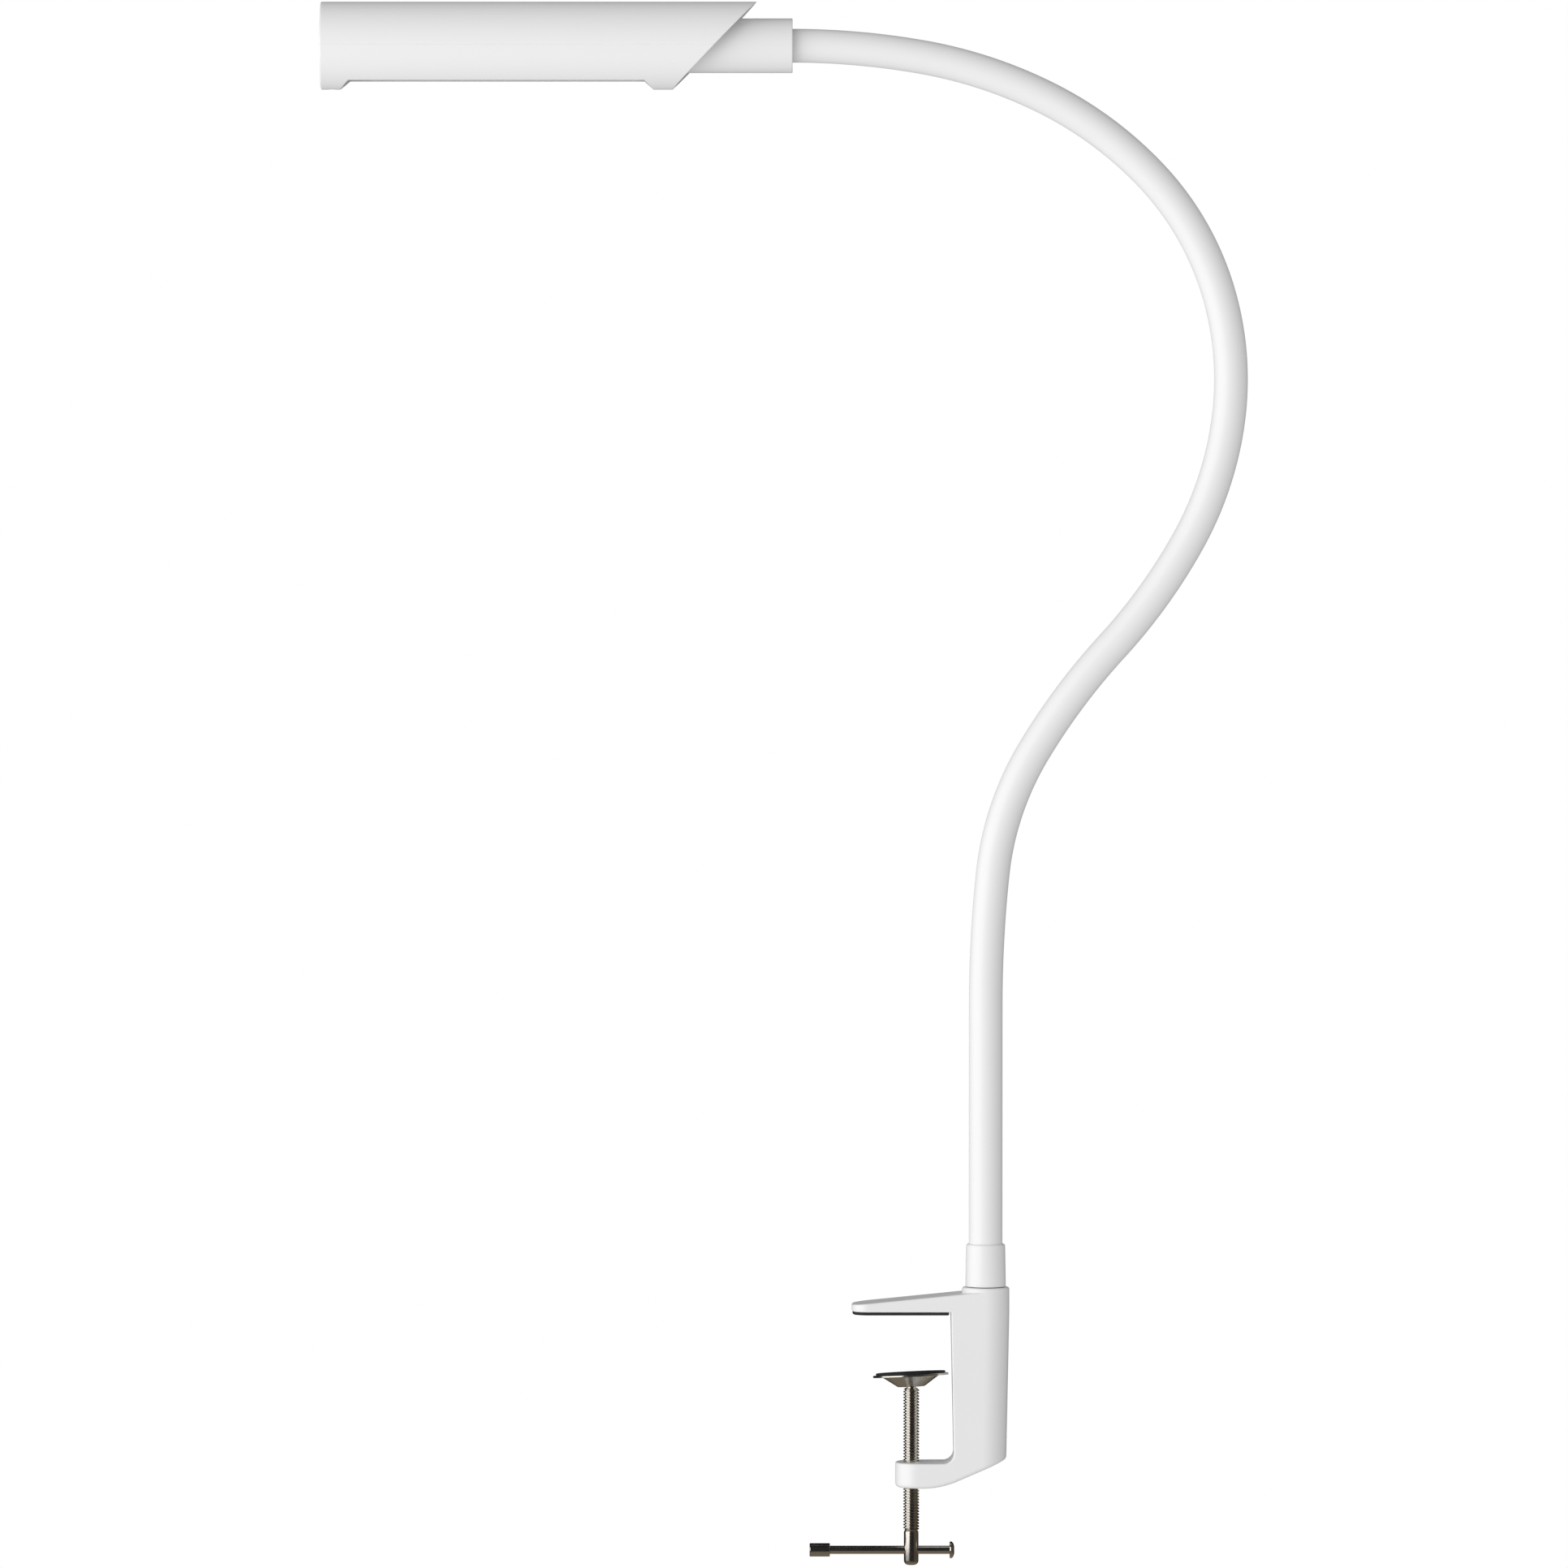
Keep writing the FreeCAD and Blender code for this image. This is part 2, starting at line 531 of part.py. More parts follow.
def next_station(point, heading, bend):
    """Far end of an arc of length LINK that turns by bend degrees."""
    half = math.radians(bend) / 2
    chord = LINK * math.sin(half) / half if half else LINK
    return point + tangent(heading + bend / 2) * chord, heading + bend


def neck_stations():
    """Hinge points with the neck's heading at each, from the top of the root to the end of the last link."""
    stations = [(V(NECK_X, 0, NECK_FOOT + ROOT_RUN), 0.0)]
    for bend in LINK_BENDS:
        stations.append(next_station(*stations[-1], bend))
    return stations


def ring_face(centre, direction, outer, inner):
    rims = [Part.Wire(Part.makeCircle(outer, centre, direction))]
    if inner:
        rims.append(Part.Wire(Part.makeCircle(inner, centre, direction)))
    return Part.makeFace(rims, "Part::FaceMakerBullseye")


def bent_tube(point, heading, bend, outer, inner):
    """One link's tube: a ring carried along its arc, or along a straight line where there is no bend."""
    ring = ring_face(point, tangent(heading), outer, inner)
    if not bend:
        return ring.extrude(tangent(heading) * LINK)
    centre = point + sideways(heading) * (LINK / math.radians(bend))
    return ring.revolve(centre, ACROSS, bend)


def ball_end(point, heading, outer, inner):
    """The part of a tube, from the hinge on, that lies inside the ball round the hinge."""
    axis = tangent(heading)
    side = sideways(heading)

    def on_ball(radius):
        return point + side * radius + axis * math.sqrt(SLEEVE_R ** 2 - radius ** 2)

    low_in = point + side * inner
    low_out = point + side * outer
    edges = [Part.makeLine(low_in, low_out)]
    if outer < SLEEVE_R - TOUCH:
        edges.append(Part.makeLine(low_out, on_ball(outer)))
    edges.append(Part.Arc(on_ball(outer), on_ball((inner + outer) / 2), on_ball(inner)).toShape())
    edges.append(Part.makeLine(on_ball(inner), low_in))
    return Part.Face(Part.Wire(edges)).revolve(point, axis, 360)


def socket_cut(shape, point):
    return shape.cut(Part.makeSphere(SLEEVE_R + BALL_GAP, point))


def straight_tube(point, heading, start, end, outer, inner):
    axis = tangent(heading)
    return ring_face(point + axis * start, axis, outer, inner).extrude(axis * (end - start))


def make_neck_layer(name, outer, inner, root_start, tail):
    """One layer of the neck, link by link: sleeve, core or lead.

    The root is straight and starts at height root_start; the last link runs on straight into the
    head by tail.  Every link ends in a ball about its hinge and starts hollowed round the one below.
    """
    stations = neck_stations()
    first = stations[0][0]
    root = straight_tube(V(NECK_X, 0, root_start), 0, 0, first.z - root_start, outer, inner)
    keep(name + "_01", root.fuse(ball_end(first, 0, outer, inner)).removeSplitter())
    for k, bend in enumerate(LINK_BENDS):
        point, heading = stations[k]
        end, end_heading = stations[k + 1]
        link = bent_tube(point, heading, bend, outer, inner)
        if k + 1 < len(LINK_BENDS):
            far = ball_end(end, end_heading, outer, inner)
        else:
            far = straight_tube(end, end_heading, 0, tail, outer, inner)
        link = socket_cut(link.fuse(far).removeSplitter(), point)
        keep("%s_%02d" % (name, k + 2), link)


def make_neck_pin():
    """Hollow turned pin: journal with a retaining groove below, cup that grips the neck's core above."""
    journal = PIN_D / 2
    bore = LEAD_D / 2 + SNUG
    cup_r = CORE_D / 2 + SNUG + CUP_WALL
    low = BOSS_TOP + SEAM
    floor = low + CUP_FLOOR_T
    groove = journal - PIN_GROOVE_DEPTH
    half = PIN_GROOVE_W / 2
    profile = [(bore, -PIN_BELOW), (journal - PIN_CHAMFER, -PIN_BELOW), (journal, -PIN_BELOW + PIN_CHAMFER)]
    profile += [(journal, PIN_GROOVE_Z - half), (groove, PIN_GROOVE_Z - half)]
    profile += [(groove, PIN_GROOVE_Z + half), (journal, PIN_GROOVE_Z + half), (journal, low)]
    profile += [(cup_r, low), (cup_r, floor + CUP_DEPTH), (CORE_D / 2 + SNUG, floor + CUP_DEPTH)]
    profile += [(CORE_D / 2 + SNUG, floor), (bore, floor)]
    return turned(profile, V(NECK_X, 0, 0), UP, ALONG)


def make_base_ferrule():
    """White collar over the foot of the neck, tapered, with a rounded shoulder down to the sleeve."""
    low = BOSS_TOP + SEAM
    top = low + FERRULE_H
    bore = SLEEVE_R + SNUG
    knee = top - FERRULE_SHOULDER
    outer = bore + FERRULE_TOP_WALL
    foot = bore + FERRULE_FOOT_WALL
    turns = [math.radians(15 * k) for k in range(7)]
    profile = [(bore, low), (foot - FERRULE_CHAMFER, low), (foot, low + FERRULE_CHAMFER)]
    reach = FERRULE_TOP_WALL - FERRULE_LIP
    profile += [(outer - reach * (1 - math.cos(a)), knee + FERRULE_SHOULDER * math.sin(a)) for a in turns]
    profile.append((bore, top))
    return turned(profile, V(NECK_X, 0, 0), UP, ALONG)


# ---------------------------------------------------------------- head
# It is built with the hub's end at the origin and its axis along -X, then moved to the end of the neck.
FORWARD = V(-1, 0, 0)


def at(u, y=0.0, z=0.0):
    """A point u in front of the hub's end."""
    return V(-u, y, z)


def tube_along(outer, inner, u0, u1):
    return pipe(outer, inner, at(u0), FORWARD, u1 - u0)


def bar_between(u0, u1, y0, y1, z0, z1):
    return block(-u1, -u0, y0, y1, z0, z1)


def make_hub_tube():
    tube = tube_along(HUB_D / 2, HUB_D / 2 - HUB_WALL, 0, HUB_LEN)
    rim = edges_near(tube, lambda e: e.BoundBox.XMin > -TOUCH and e.BoundBox.ZMax > HUB_D / 2 - HUB_WALL / 2)
    return tube.makeFillet(HUB_WALL / 3, rim)


def make_neck_socket():
    """Turned plug in the rear of the hub that grips the neck's sleeve and core."""
    start = SOCKET_RECESS
    plug = rod(HUB_D / 2 - HUB_WALL, at(start), FORWARD, SOCKET_LEN - start)
    plug = plug.cut(rod(SLEEVE_R + SNUG, at(0), FORWARD, SLEEVE_IN + SNUG))
    plug = plug.cut(rod(CORE_D / 2 + SNUG, at(0), FORWARD, CORE_IN + SNUG))
    return plug.cut(rod(LEAD_D / 2 + SNUG, at(0), FORWARD, SOCKET_LEN + PAST))


def make_hub_plug():
    """Front plug of the hub with its hollow spindle and the peg that limits the shade's turn."""
    face = HUB_LEN
    plug = rod(HUB_D / 2 - HUB_WALL, at(face - PLUG_T), FORWARD, PLUG_T)
    plug = plug.fuse(rod(SPINDLE_D / 2, at(face), FORWARD, SPINDLE_LEN))
    plug = plug.fuse(rod(PEG_D / 2, at(face, 0, PEG_RADIUS), FORWARD, SEAM + BULKHEAD_T + PEG_THROUGH))
    through = SPINDLE_LEN + PLUG_T + 2 * PAST
    return plug.cut(rod(LEAD_D / 2 + SNUG, at(face - PLUG_T - PAST), FORWARD, through))


def collar_end():
    return HUB_LEN + SEAM + BULKHEAD_COLLAR_LEN


def make_spring_washer():
    """Bowed washer between the nut and the bulkhead's collar."""
    start = collar_end() + SEAM
    return tube_along(WASHER_D / 2, SPINDLE_D / 2 + SNUG, start, start + WASHER_T)


def make_pivot_nut():
    """Hexagon nut on the spindle that sets how stiffly the shade turns."""
    start = collar_end() + SEAM + WASHER_T
    nut = hexagon(NUT_FLATS, at(start), FORWARD, NUT_T)
    half = NUT_FLATS / 2
    cone = Part.makeCone(half + NUT_CORNER, half - NUT_FACE, NUT_T + SNUG, at(start), FORWARD)
    return nut.common(cone).cut(rod(SPINDLE_D / 2, at(start - PAST), FORWARD, NUT_T + 2 * PAST))


def make_bulkhead():
    """Round wall across the shade that turns on the spindle; an arc slot lets the peg travel."""
    face = HUB_LEN + SEAM
    wall = rod(SHADE_R - SHADE_WALL, at(face), FORWARD, BULKHEAD_T)
    wall = wall.fuse(rod(BULKHEAD_COLLAR_D / 2, at(face), FORWARD, BULKHEAD_COLLAR_LEN))
    room = math.degrees(math.asin((PEG_D / 2 + PEG_STOP_ROOM) / PEG_RADIUS))
    sweep = 2 * (TURN_RANGE + room)
    inner = PEG_RADIUS - PEG_D / 2 - PEG_SLOT_ROOM
    outer = PEG_RADIUS + PEG_D / 2 + PEG_SLOT_ROOM
    start = math.radians(90 - sweep / 2)
    foot = at(face - PAST, inner * math.cos(start), inner * math.sin(start))
    reach = at(face - PAST, outer * math.cos(start), outer * math.sin(start))
    through = FORWARD * (BULKHEAD_T + 2 * PAST)
    slot = Part.Face(polygon([foot, reach, reach + through, foot + through])).revolve(at(face), ALONG, sweep)
    bore = rod(SPINDLE_D / 2 + RUN_FIT, at(face - PAST), FORWARD, BULKHEAD_COLLAR_LEN + 2 * PAST)
    return wall.cut(slot).cut(bore)


def shade_blank():
    """Whole shade as one tube: closed front, sloping rear opening, window in the underside."""
    length = SHADE_FRONT
    skin = rod(SHADE_R, at(0), FORWARD, length)
    rim = edges_near(skin, lambda e: e.BoundBox.XMax < -length + TOUCH)
    skin = skin.makeFillet(SHADE_EDGE_R, rim)
    skin = skin.cut(rod(SHADE_R - SHADE_WALL, at(-PAST), FORWARD, length + PAST - SHADE_WALL))
    extra = OUTLINE_MARGIN * SHADE_CUT / SHADE_D
    over = SHADE_R + OUTLINE_MARGIN
    top = SHADE_TOP_REAR - extra
    bottom = SHADE_BOTTOM_REAR + extra
    behind = plate([(over, over), (-top, over), (-bottom, -over), (over, -over)], -over, over)
    return skin.cut(behind)


def window_cutter():
    """The flat-topped notch that opens the underside, with ramped ends."""
    drop = SHADE_R - WINDOW_DROP
    grow = WINDOW_RAMP * (drop + OUTLINE_MARGIN) / drop
    rear = WINDOW_REAR
    front = WINDOW_REAR + WINDOW_LEN
    low = -SHADE_R - OUTLINE_MARGIN
    outline = [(-rear, -WINDOW_DROP), (-front, -WINDOW_DROP), (-front - grow, low), (-rear + grow, low)]
    return plate(outline, -SHADE_R - PAST, SHADE_R + PAST)


def carrier_screw_stations():
    """The carrier's screws, spread evenly along it."""
    return [CARRIER_START + CARRIER_LEN * share for share in (1 / 12, 1 / 2, 11 / 12)]


def front_screw_station():
    return SHADE_FRONT - FRONT_SCREW_FROM_FACE


def boss_down(u, seat_z, pilot_r):
    """Screw boss from the upper shell's inside down to seat_z, with its pilot hole."""
    post = rod(M3_BOSS_D / 2, at(u, 0, seat_z), UP, SHADE_R - seat_z)
    post = post.common(rod(SHADE_R - SHADE_WALL / 2, at(u - M3_BOSS_D), FORWARD, 2 * M3_BOSS_D))
    return post, rod(pilot_r, at(u, 0, seat_z - PAST), UP, M3_LEN + 2 * PAST)


def ease_split(shell):
    """Chamfer the outer edges of the face where one shell meets the other."""
    def outer(edge):
        box = edge.BoundBox
        on_split = box.ZMax < TOUCH and box.ZMin > -TOUCH
        side = max(abs(box.YMin), abs(box.YMax)) > SHADE_R - TOUCH and box.YMin * box.YMax > 0
        front = box.XMax < -SHADE_FRONT + SHADE_EDGE_R + TOUCH
        return on_split and (side or front)
    return shell.makeChamfer(SPLIT_CHAMFER, edges_near(shell, outer))


def make_shells():
    """Upper and lower half shells, split on the axis plane, with their inner bosses and ledges."""
    blank = shade_blank()
    big = SHADE_R + OUTLINE_MARGIN
    length = SHADE_FRONT + OUTLINE_MARGIN
    upper = ease_split(blank.common(bar_between(0, length, -big, big, 0, big)))
    lower = ease_split(blank.common(bar_between(0, length, -big, big, -big, 0))).cut(window_cutter())
    seat = CARRIER_BASE_Z + CARRIER_T
    holes = []
    for u in carrier_screw_stations():
        post, pilot = boss_down(u, seat, M3_D / 2)
        upper = upper.fuse(post)
        holes.append(pilot)
    post, pilot = boss_down(front_screw_station(), 0, M3_D / 2)
    upper = upper.fuse(post)
    holes.append(pilot)
    for pilot in holes:
        upper = upper.cut(pilot)
    u = front_screw_station()
    foot = rod(M3_BOSS_D / 2, at(u, 0, -SHADE_R), UP, SHADE_R)
    foot = foot.common(rod(SHADE_R - SHADE_WALL / 2, at(u - M3_BOSS_D), FORWARD, 2 * M3_BOSS_D))
    lower = lower.fuse(foot)
    for side in (-1, 1):
        lower = lower.fuse(make_ledge(side))
    sink = SHADE_R + PAST + FRONT_SEAT_Z
    lower = lower.cut(rod(M3_HEAD_D / 2 + HEAD_IN_SHELL, at(u, 0, -SHADE_R - PAST), UP, sink))
    lower = lower.cut(rod(M3_D / 2, at(u, 0, -SHADE_R), UP, SHADE_R + PAST))
    keep("shade_upper_shell", upper.removeSplitter())
    keep("shade_lower_shell", lower.removeSplitter())


def diffuser_half_width():
    return math.sqrt((SHADE_R - SHADE_WALL) ** 2 - DIFFUSER_Z ** 2) - DIFFUSER_SIDE_GAP


def diffuser_span():
    return WINDOW_REAR - DIFFUSER_BEHIND, WINDOW_REAR + WINDOW_LEN + DIFFUSER_AHEAD


def make_ledge(side):
    """Rail inside the lower shell that the diffuser lies on; side is +1 or -1."""
    edge = diffuser_half_width()
    rear, front = diffuser_span()
    inner, outer = sorted((side * (edge - LEDGE_W), side * SHADE_R))
    rail = bar_between(rear, front, inner, outer, DIFFUSER_Z - LEDGE_T, DIFFUSER_Z)
    return rail.common(rod(SHADE_R - SHADE_WALL / 2, at(rear - PAST), FORWARD, front - rear + 2 * PAST))


def make_diffuser():
    """Frosted sheet behind the window."""
    edge = diffuser_half_width()
    rear, front = diffuser_span()
    return bar_between(rear, front, -edge, edge, DIFFUSER_Z, DIFFUSER_Z + DIFFUSER_T)


def make_led_carrier():
    """Aluminium channel that carries the board and spreads its heat through fins."""
    end = CARRIER_START + CARRIER_LEN
    half = CARRIER_W / 2
    top = CARRIER_BASE_Z + CARRIER_T
    carrier = bar_between(CARRIER_START, end, -half, half, CARRIER_BASE_Z, top)
    for side in (-1, 1):
        y0, y1 = sorted((side * half, side * (half - CARRIER_FIN_T)))
        rise = CARRIER_FLANGE_H - CARRIER_T
        carrier = carrier.fuse(bar_between(CARRIER_START, end, y0, y1, top, top + rise))
        for share in (1 / 3, 2 / 3):
            y = side * half * share
            fin = bar_between(CARRIER_START, end, y - CARRIER_FIN_T / 2, y + CARRIER_FIN_T / 2,
                              top, top + CARRIER_FIN_H)
            carrier = carrier.fuse(fin)
    for u in carrier_screw_stations():
        carrier = carrier.cut(rod(M3_D / 2, at(u, 0, CARRIER_BASE_Z - PAST), UP, CARRIER_T + 2 * PAST))
    return carrier.removeSplitter()


def board_span():
    return CARRIER_START + BOARD_MARGIN, CARRIER_START + CARRIER_LEN - BOARD_MARGIN


def make_led_board():
    rear, front = board_span()
    board = bar_between(rear, front, -BOARD_W / 2, BOARD_W / 2, CARRIER_BASE_Z - BOARD_T, CARRIER_BASE_Z)
    hole = M3_HEAD_D / 2 + HEAD_IN_BOARD
    for u in carrier_screw_stations():
        board = board.cut(rod(hole, at(u, 0, CARRIER_BASE_Z - BOARD_T - PAST), UP, BOARD_T + 2 * PAST))
    return board


def make_leds():
    """Two rows of small light-emitting packages under the board, one solid each."""
    rear, front = board_span()
    pitch = (front - rear) / LED_PER_ROW
    half_len, half_w, thick = LED_SIZE[0] / 2, LED_SIZE[1] / 2, LED_SIZE[2]
    top = CARRIER_BASE_Z - BOARD_T
    chips = []
    for k in range(LED_PER_ROW):
        u = rear + (k + 0.5) * pitch
        for y in (-LED_ROW_Y, LED_ROW_Y):
            chips.append(bar_between(u - half_len, u + half_len, y - half_w, y + half_w, top - thick, top))
    return Part.makeCompound(chips)


def make_led_wires():
    """Two short wires from the mouth of the spindle down to the end of the board."""
    start = HUB_LEN + SPINDLE_LEN + SEAM
    end, _ = board_span()
    low = CARRIER_BASE_Z - BOARD_T / 2
    wires = []
    for y in (-WIRE_SPREAD, WIRE_SPREAD):
        drop = start + WIRE_STRAIGHT
        route = [at(start, y), at(drop, y), at(drop + WIRE_SLOPE, y, low), at(end, y, low)]
        wire = None
        for a, b in zip(route, route[1:]):
            run = rod(WIRE_D / 2, a, b - a, a.distanceToPoint(b))
            wire = wire.fuse(Part.makeSphere(WIRE_D / 2, a)).fuse(run) if wire else run
        wires.append(wire)
    return Part.makeCompound(wires)


def make_screw(u, seat_z):
    """Small pan-head screw pointing up, with its head under seat_z."""
    head = rod(M3_HEAD_D / 2, at(u, 0, seat_z - M3_HEAD_T), UP, M3_HEAD_T)
    low = edges_near(head, lambda e: e.BoundBox.ZMax < seat_z - M3_HEAD_T + TOUCH)
    head = head.makeFillet(M3_HEAD_T / 3, low)
    shank = rod(M3_D / 2, at(u, 0, seat_z), UP, M3_LEN)
    screw = head.fuse(shank)
    bottom = seat_z - M3_HEAD_T
    half = M3_SLOT_W / 2
    for x, y in ((M3_SLOT_HALF, half), (half, M3_SLOT_HALF)):
        screw = screw.cut(block(-u - x, -u + x, -y, y, bottom - PAST, bottom + M3_HEAD_T * M3_SLOT_DEPTH))
    return screw


def make_head_screws():
    """Identical screws: a row that holds the carrier to the upper shell, and one that joins the shells."""
    screws = [make_screw(u, CARRIER_BASE_Z) for u in carrier_screw_stations()]
    screws.append(make_screw(front_screw_station(), FRONT_SEAT_Z))
    return Part.makeCompound(screws)


def make_head():
    before = set(pieces)
    keep("hub_tube", make_hub_tube())
    keep("neck_socket", make_neck_socket())
    keep("hub_plug", make_hub_plug())
    keep("spring_washer", make_spring_washer())
    keep("pivot_nut", make_pivot_nut())
    keep("shade_bulkhead", make_bulkhead())
    make_shells()
    keep("diffuser", make_diffuser())
    keep("led_carrier", make_led_carrier())
    keep("led_board", make_led_board())
    keep("led_chips", make_leds())
    keep("led_wires", make_led_wires())
    keep("head_screws", make_head_screws())
    end, heading = neck_stations()[-1]
    place = FreeCAD.Placement(end, FreeCAD.Rotation(ACROSS, heading + 90))
    for name in set(pieces) - before:
        pieces[name] = pieces[name].transformed(place.toMatrix())


def main():
    keep("clamp_body", make_clamp_body())
    keep("jaw_pad", make_jaw_pad())
    keep("swivel_bush", make_swivel_bush())
    keep("pivot_set_screw", make_pivot_set_screw())
    keep("cord_inlet", make_cord_inlet())
    make_disc_parts()
    keep("swivel_washer", make_swivel_washer())
    keep("clamp_screw", make_clamp_screw())
    keep("tommy_bar", make_tommy_bar())
    keep("tommy_bar_cap", make_tommy_bar_cap())
    keep("neck_pin", make_neck_pin())
    keep("base_ferrule", make_base_ferrule())
    cup_floor = BOSS_TOP + SEAM + CUP_FLOOR_T
    make_neck_layer("neck_sleeve", SLEEVE_R, SLEEVE_R - SLEEVE_WALL, cup_floor + CUP_DEPTH, SLEEVE_IN)
    make_neck_layer("neck_core", CORE_D / 2, LEAD_D / 2 + SNUG, cup_floor, CORE_IN)
    make_neck_layer("neck_lead", LEAD_D / 2, 0, -PIN_BELOW, HUB_LEN + SPINDLE_LEN)
    make_head()
    os.makedirs("parts", exist_ok=True)
    for name, shape in pieces.items():
        shape.exportStep("parts/%s.step" % name)
        print("%-20s solids %2d  volume %10.1f  valid %s"
              % (name, len(shape.Solids), shape.Volume, shape.isValid()))


main()
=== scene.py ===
import json
import math

import bmesh
import bpy
import numpy as np
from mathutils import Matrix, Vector


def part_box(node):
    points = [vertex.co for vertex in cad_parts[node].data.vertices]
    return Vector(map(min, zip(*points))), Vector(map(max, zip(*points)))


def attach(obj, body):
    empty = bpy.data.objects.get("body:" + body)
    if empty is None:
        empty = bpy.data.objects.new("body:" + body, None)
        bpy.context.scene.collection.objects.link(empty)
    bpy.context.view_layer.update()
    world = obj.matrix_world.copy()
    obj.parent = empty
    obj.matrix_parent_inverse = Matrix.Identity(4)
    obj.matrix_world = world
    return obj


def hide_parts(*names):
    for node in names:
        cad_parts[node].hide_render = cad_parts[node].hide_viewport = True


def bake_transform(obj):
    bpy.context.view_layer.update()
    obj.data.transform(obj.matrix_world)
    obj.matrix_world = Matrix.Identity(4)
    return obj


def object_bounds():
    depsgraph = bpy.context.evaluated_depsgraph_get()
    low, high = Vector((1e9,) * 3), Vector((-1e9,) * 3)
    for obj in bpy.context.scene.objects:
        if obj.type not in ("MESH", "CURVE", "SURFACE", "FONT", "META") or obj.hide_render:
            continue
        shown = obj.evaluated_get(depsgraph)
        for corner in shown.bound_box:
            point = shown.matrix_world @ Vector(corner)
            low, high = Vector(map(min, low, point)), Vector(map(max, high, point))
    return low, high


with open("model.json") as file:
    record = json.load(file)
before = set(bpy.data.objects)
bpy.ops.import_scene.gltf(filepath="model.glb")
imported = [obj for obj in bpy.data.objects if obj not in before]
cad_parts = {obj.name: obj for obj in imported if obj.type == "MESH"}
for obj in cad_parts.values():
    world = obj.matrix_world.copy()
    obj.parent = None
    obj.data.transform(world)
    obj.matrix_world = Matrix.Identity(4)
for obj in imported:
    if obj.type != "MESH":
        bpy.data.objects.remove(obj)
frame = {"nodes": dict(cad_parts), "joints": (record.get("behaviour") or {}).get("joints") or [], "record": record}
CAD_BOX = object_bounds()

# Clamp-on gooseneck desk lamp, in metres, in the frame's own axes: +Z up, the head reaches towards -X.
MM = 0.001
JOINTS = {joint["name"]: joint for joint in frame["joints"]}
MOUNTS = {mount["name"]: mount for mount in frame["record"]["mounts"]}
SLOTS = {part["node"]: part["material_slot"] for part in frame["record"]["subparts"]}
UP = np.array([0.0, 0.0, 1.0])
ACROSS = np.array([0.0, 1.0, 0.0])
ALONG = np.array([1.0, 0.0, 0.0])

# ---------------------------------------------------------------- camera, floor and light
CAMERA_DISTANCE = 5.058
CAMERA_RISE = 1.99            # degrees above the horizon
CAMERA_TURN = -0.07           # degrees round from the front
CAMERA_LENS = 229.8           # mm, on a sensor 36 mm wide
CAMERA_SENSOR = 36.0
AIM_OFF_CENTRE = (-0.0003, 0.0, 0.0007)
FLOOR_DROP = 0.47             # from the lamp's lowest point, as it hangs on the edge of a desk
FLOOR_SIZE = 7.4
FLOOR_FADE = (0.6, 3.4)       # the floor melts into the surround between these distances from the lamp
FLOOR_TONES = ((0.92, 0.92, 0.92), (0.95, 0.95, 0.95))
KEY_SPOT = (-2.45, -1.3, 0.35)   # from the lamp's middle
KEY_SIZE = (4.3, 2.6)
KEY_POWER = 55.0
TOP_GLOW = 0.35               # soft light on matt surfaces from above
UNDER_GLOW = 0.58             # from below
FRONT_GLOW = 0.40             # and, added to these, from the front
GLOW_TURN = (-0.5, 0.6)       # how far down a direction points where the glow starts and ends its rise
GLOSS_DARK = (0.012, 0.011, 0.013)      # what polished metal sees in front and overhead
GLOSS_WARM = (0.085, 0.068, 0.047)      # to the right
GLOSS_UNDER = (0.20, 0.175, 0.135)      # and below
GLOSS_RIGHT_EDGE = (0.55, 0.85)
GLOSS_UNDER_EDGE = (0.15, 0.75)


def make_camera():
    """Long lens, almost level, straight at the lamp's side."""
    low, high = CAD_BOX
    middle = (Vector(low) + Vector(high)) / 2 + Vector(AIM_OFF_CENTRE)
    rise, turn = math.radians(CAMERA_RISE), math.radians(CAMERA_TURN)
    back = Vector((math.sin(turn) * math.cos(rise), -math.cos(turn) * math.cos(rise), math.sin(rise)))
    data = bpy.data.cameras.new("camera")
    data.lens = CAMERA_LENS
    data.sensor_width = CAMERA_SENSOR
    data.clip_end = 100.0
    camera = bpy.data.objects.new("camera", data)
    camera.location = middle + back * CAMERA_DISTANCE
    camera.rotation_mode = "QUATERNION"
    camera.rotation_quaternion = (-back).to_track_quat("-Z", "Y")
    bpy.context.scene.collection.objects.link(camera)
    bpy.context.scene.camera = camera


def make_key_light():
    """Large softbox to the left of the lamp, turned to its middle."""
    low, high = CAD_BOX
    middle = (Vector(low) + Vector(high)) / 2
    data = bpy.data.lights.new("key_softbox", "AREA")
    data.shape = "RECTANGLE"
    data.size, data.size_y = KEY_SIZE
    data.energy = KEY_POWER
    light = bpy.data.objects.new("key_softbox", data)
    light.location = middle + Vector(KEY_SPOT)
    light.rotation_mode = "QUATERNION"
    light.rotation_quaternion = (middle - light.location).to_track_quat("-Z", "Y")
    light.visible_camera = False
    bpy.context.scene.collection.objects.link(light)


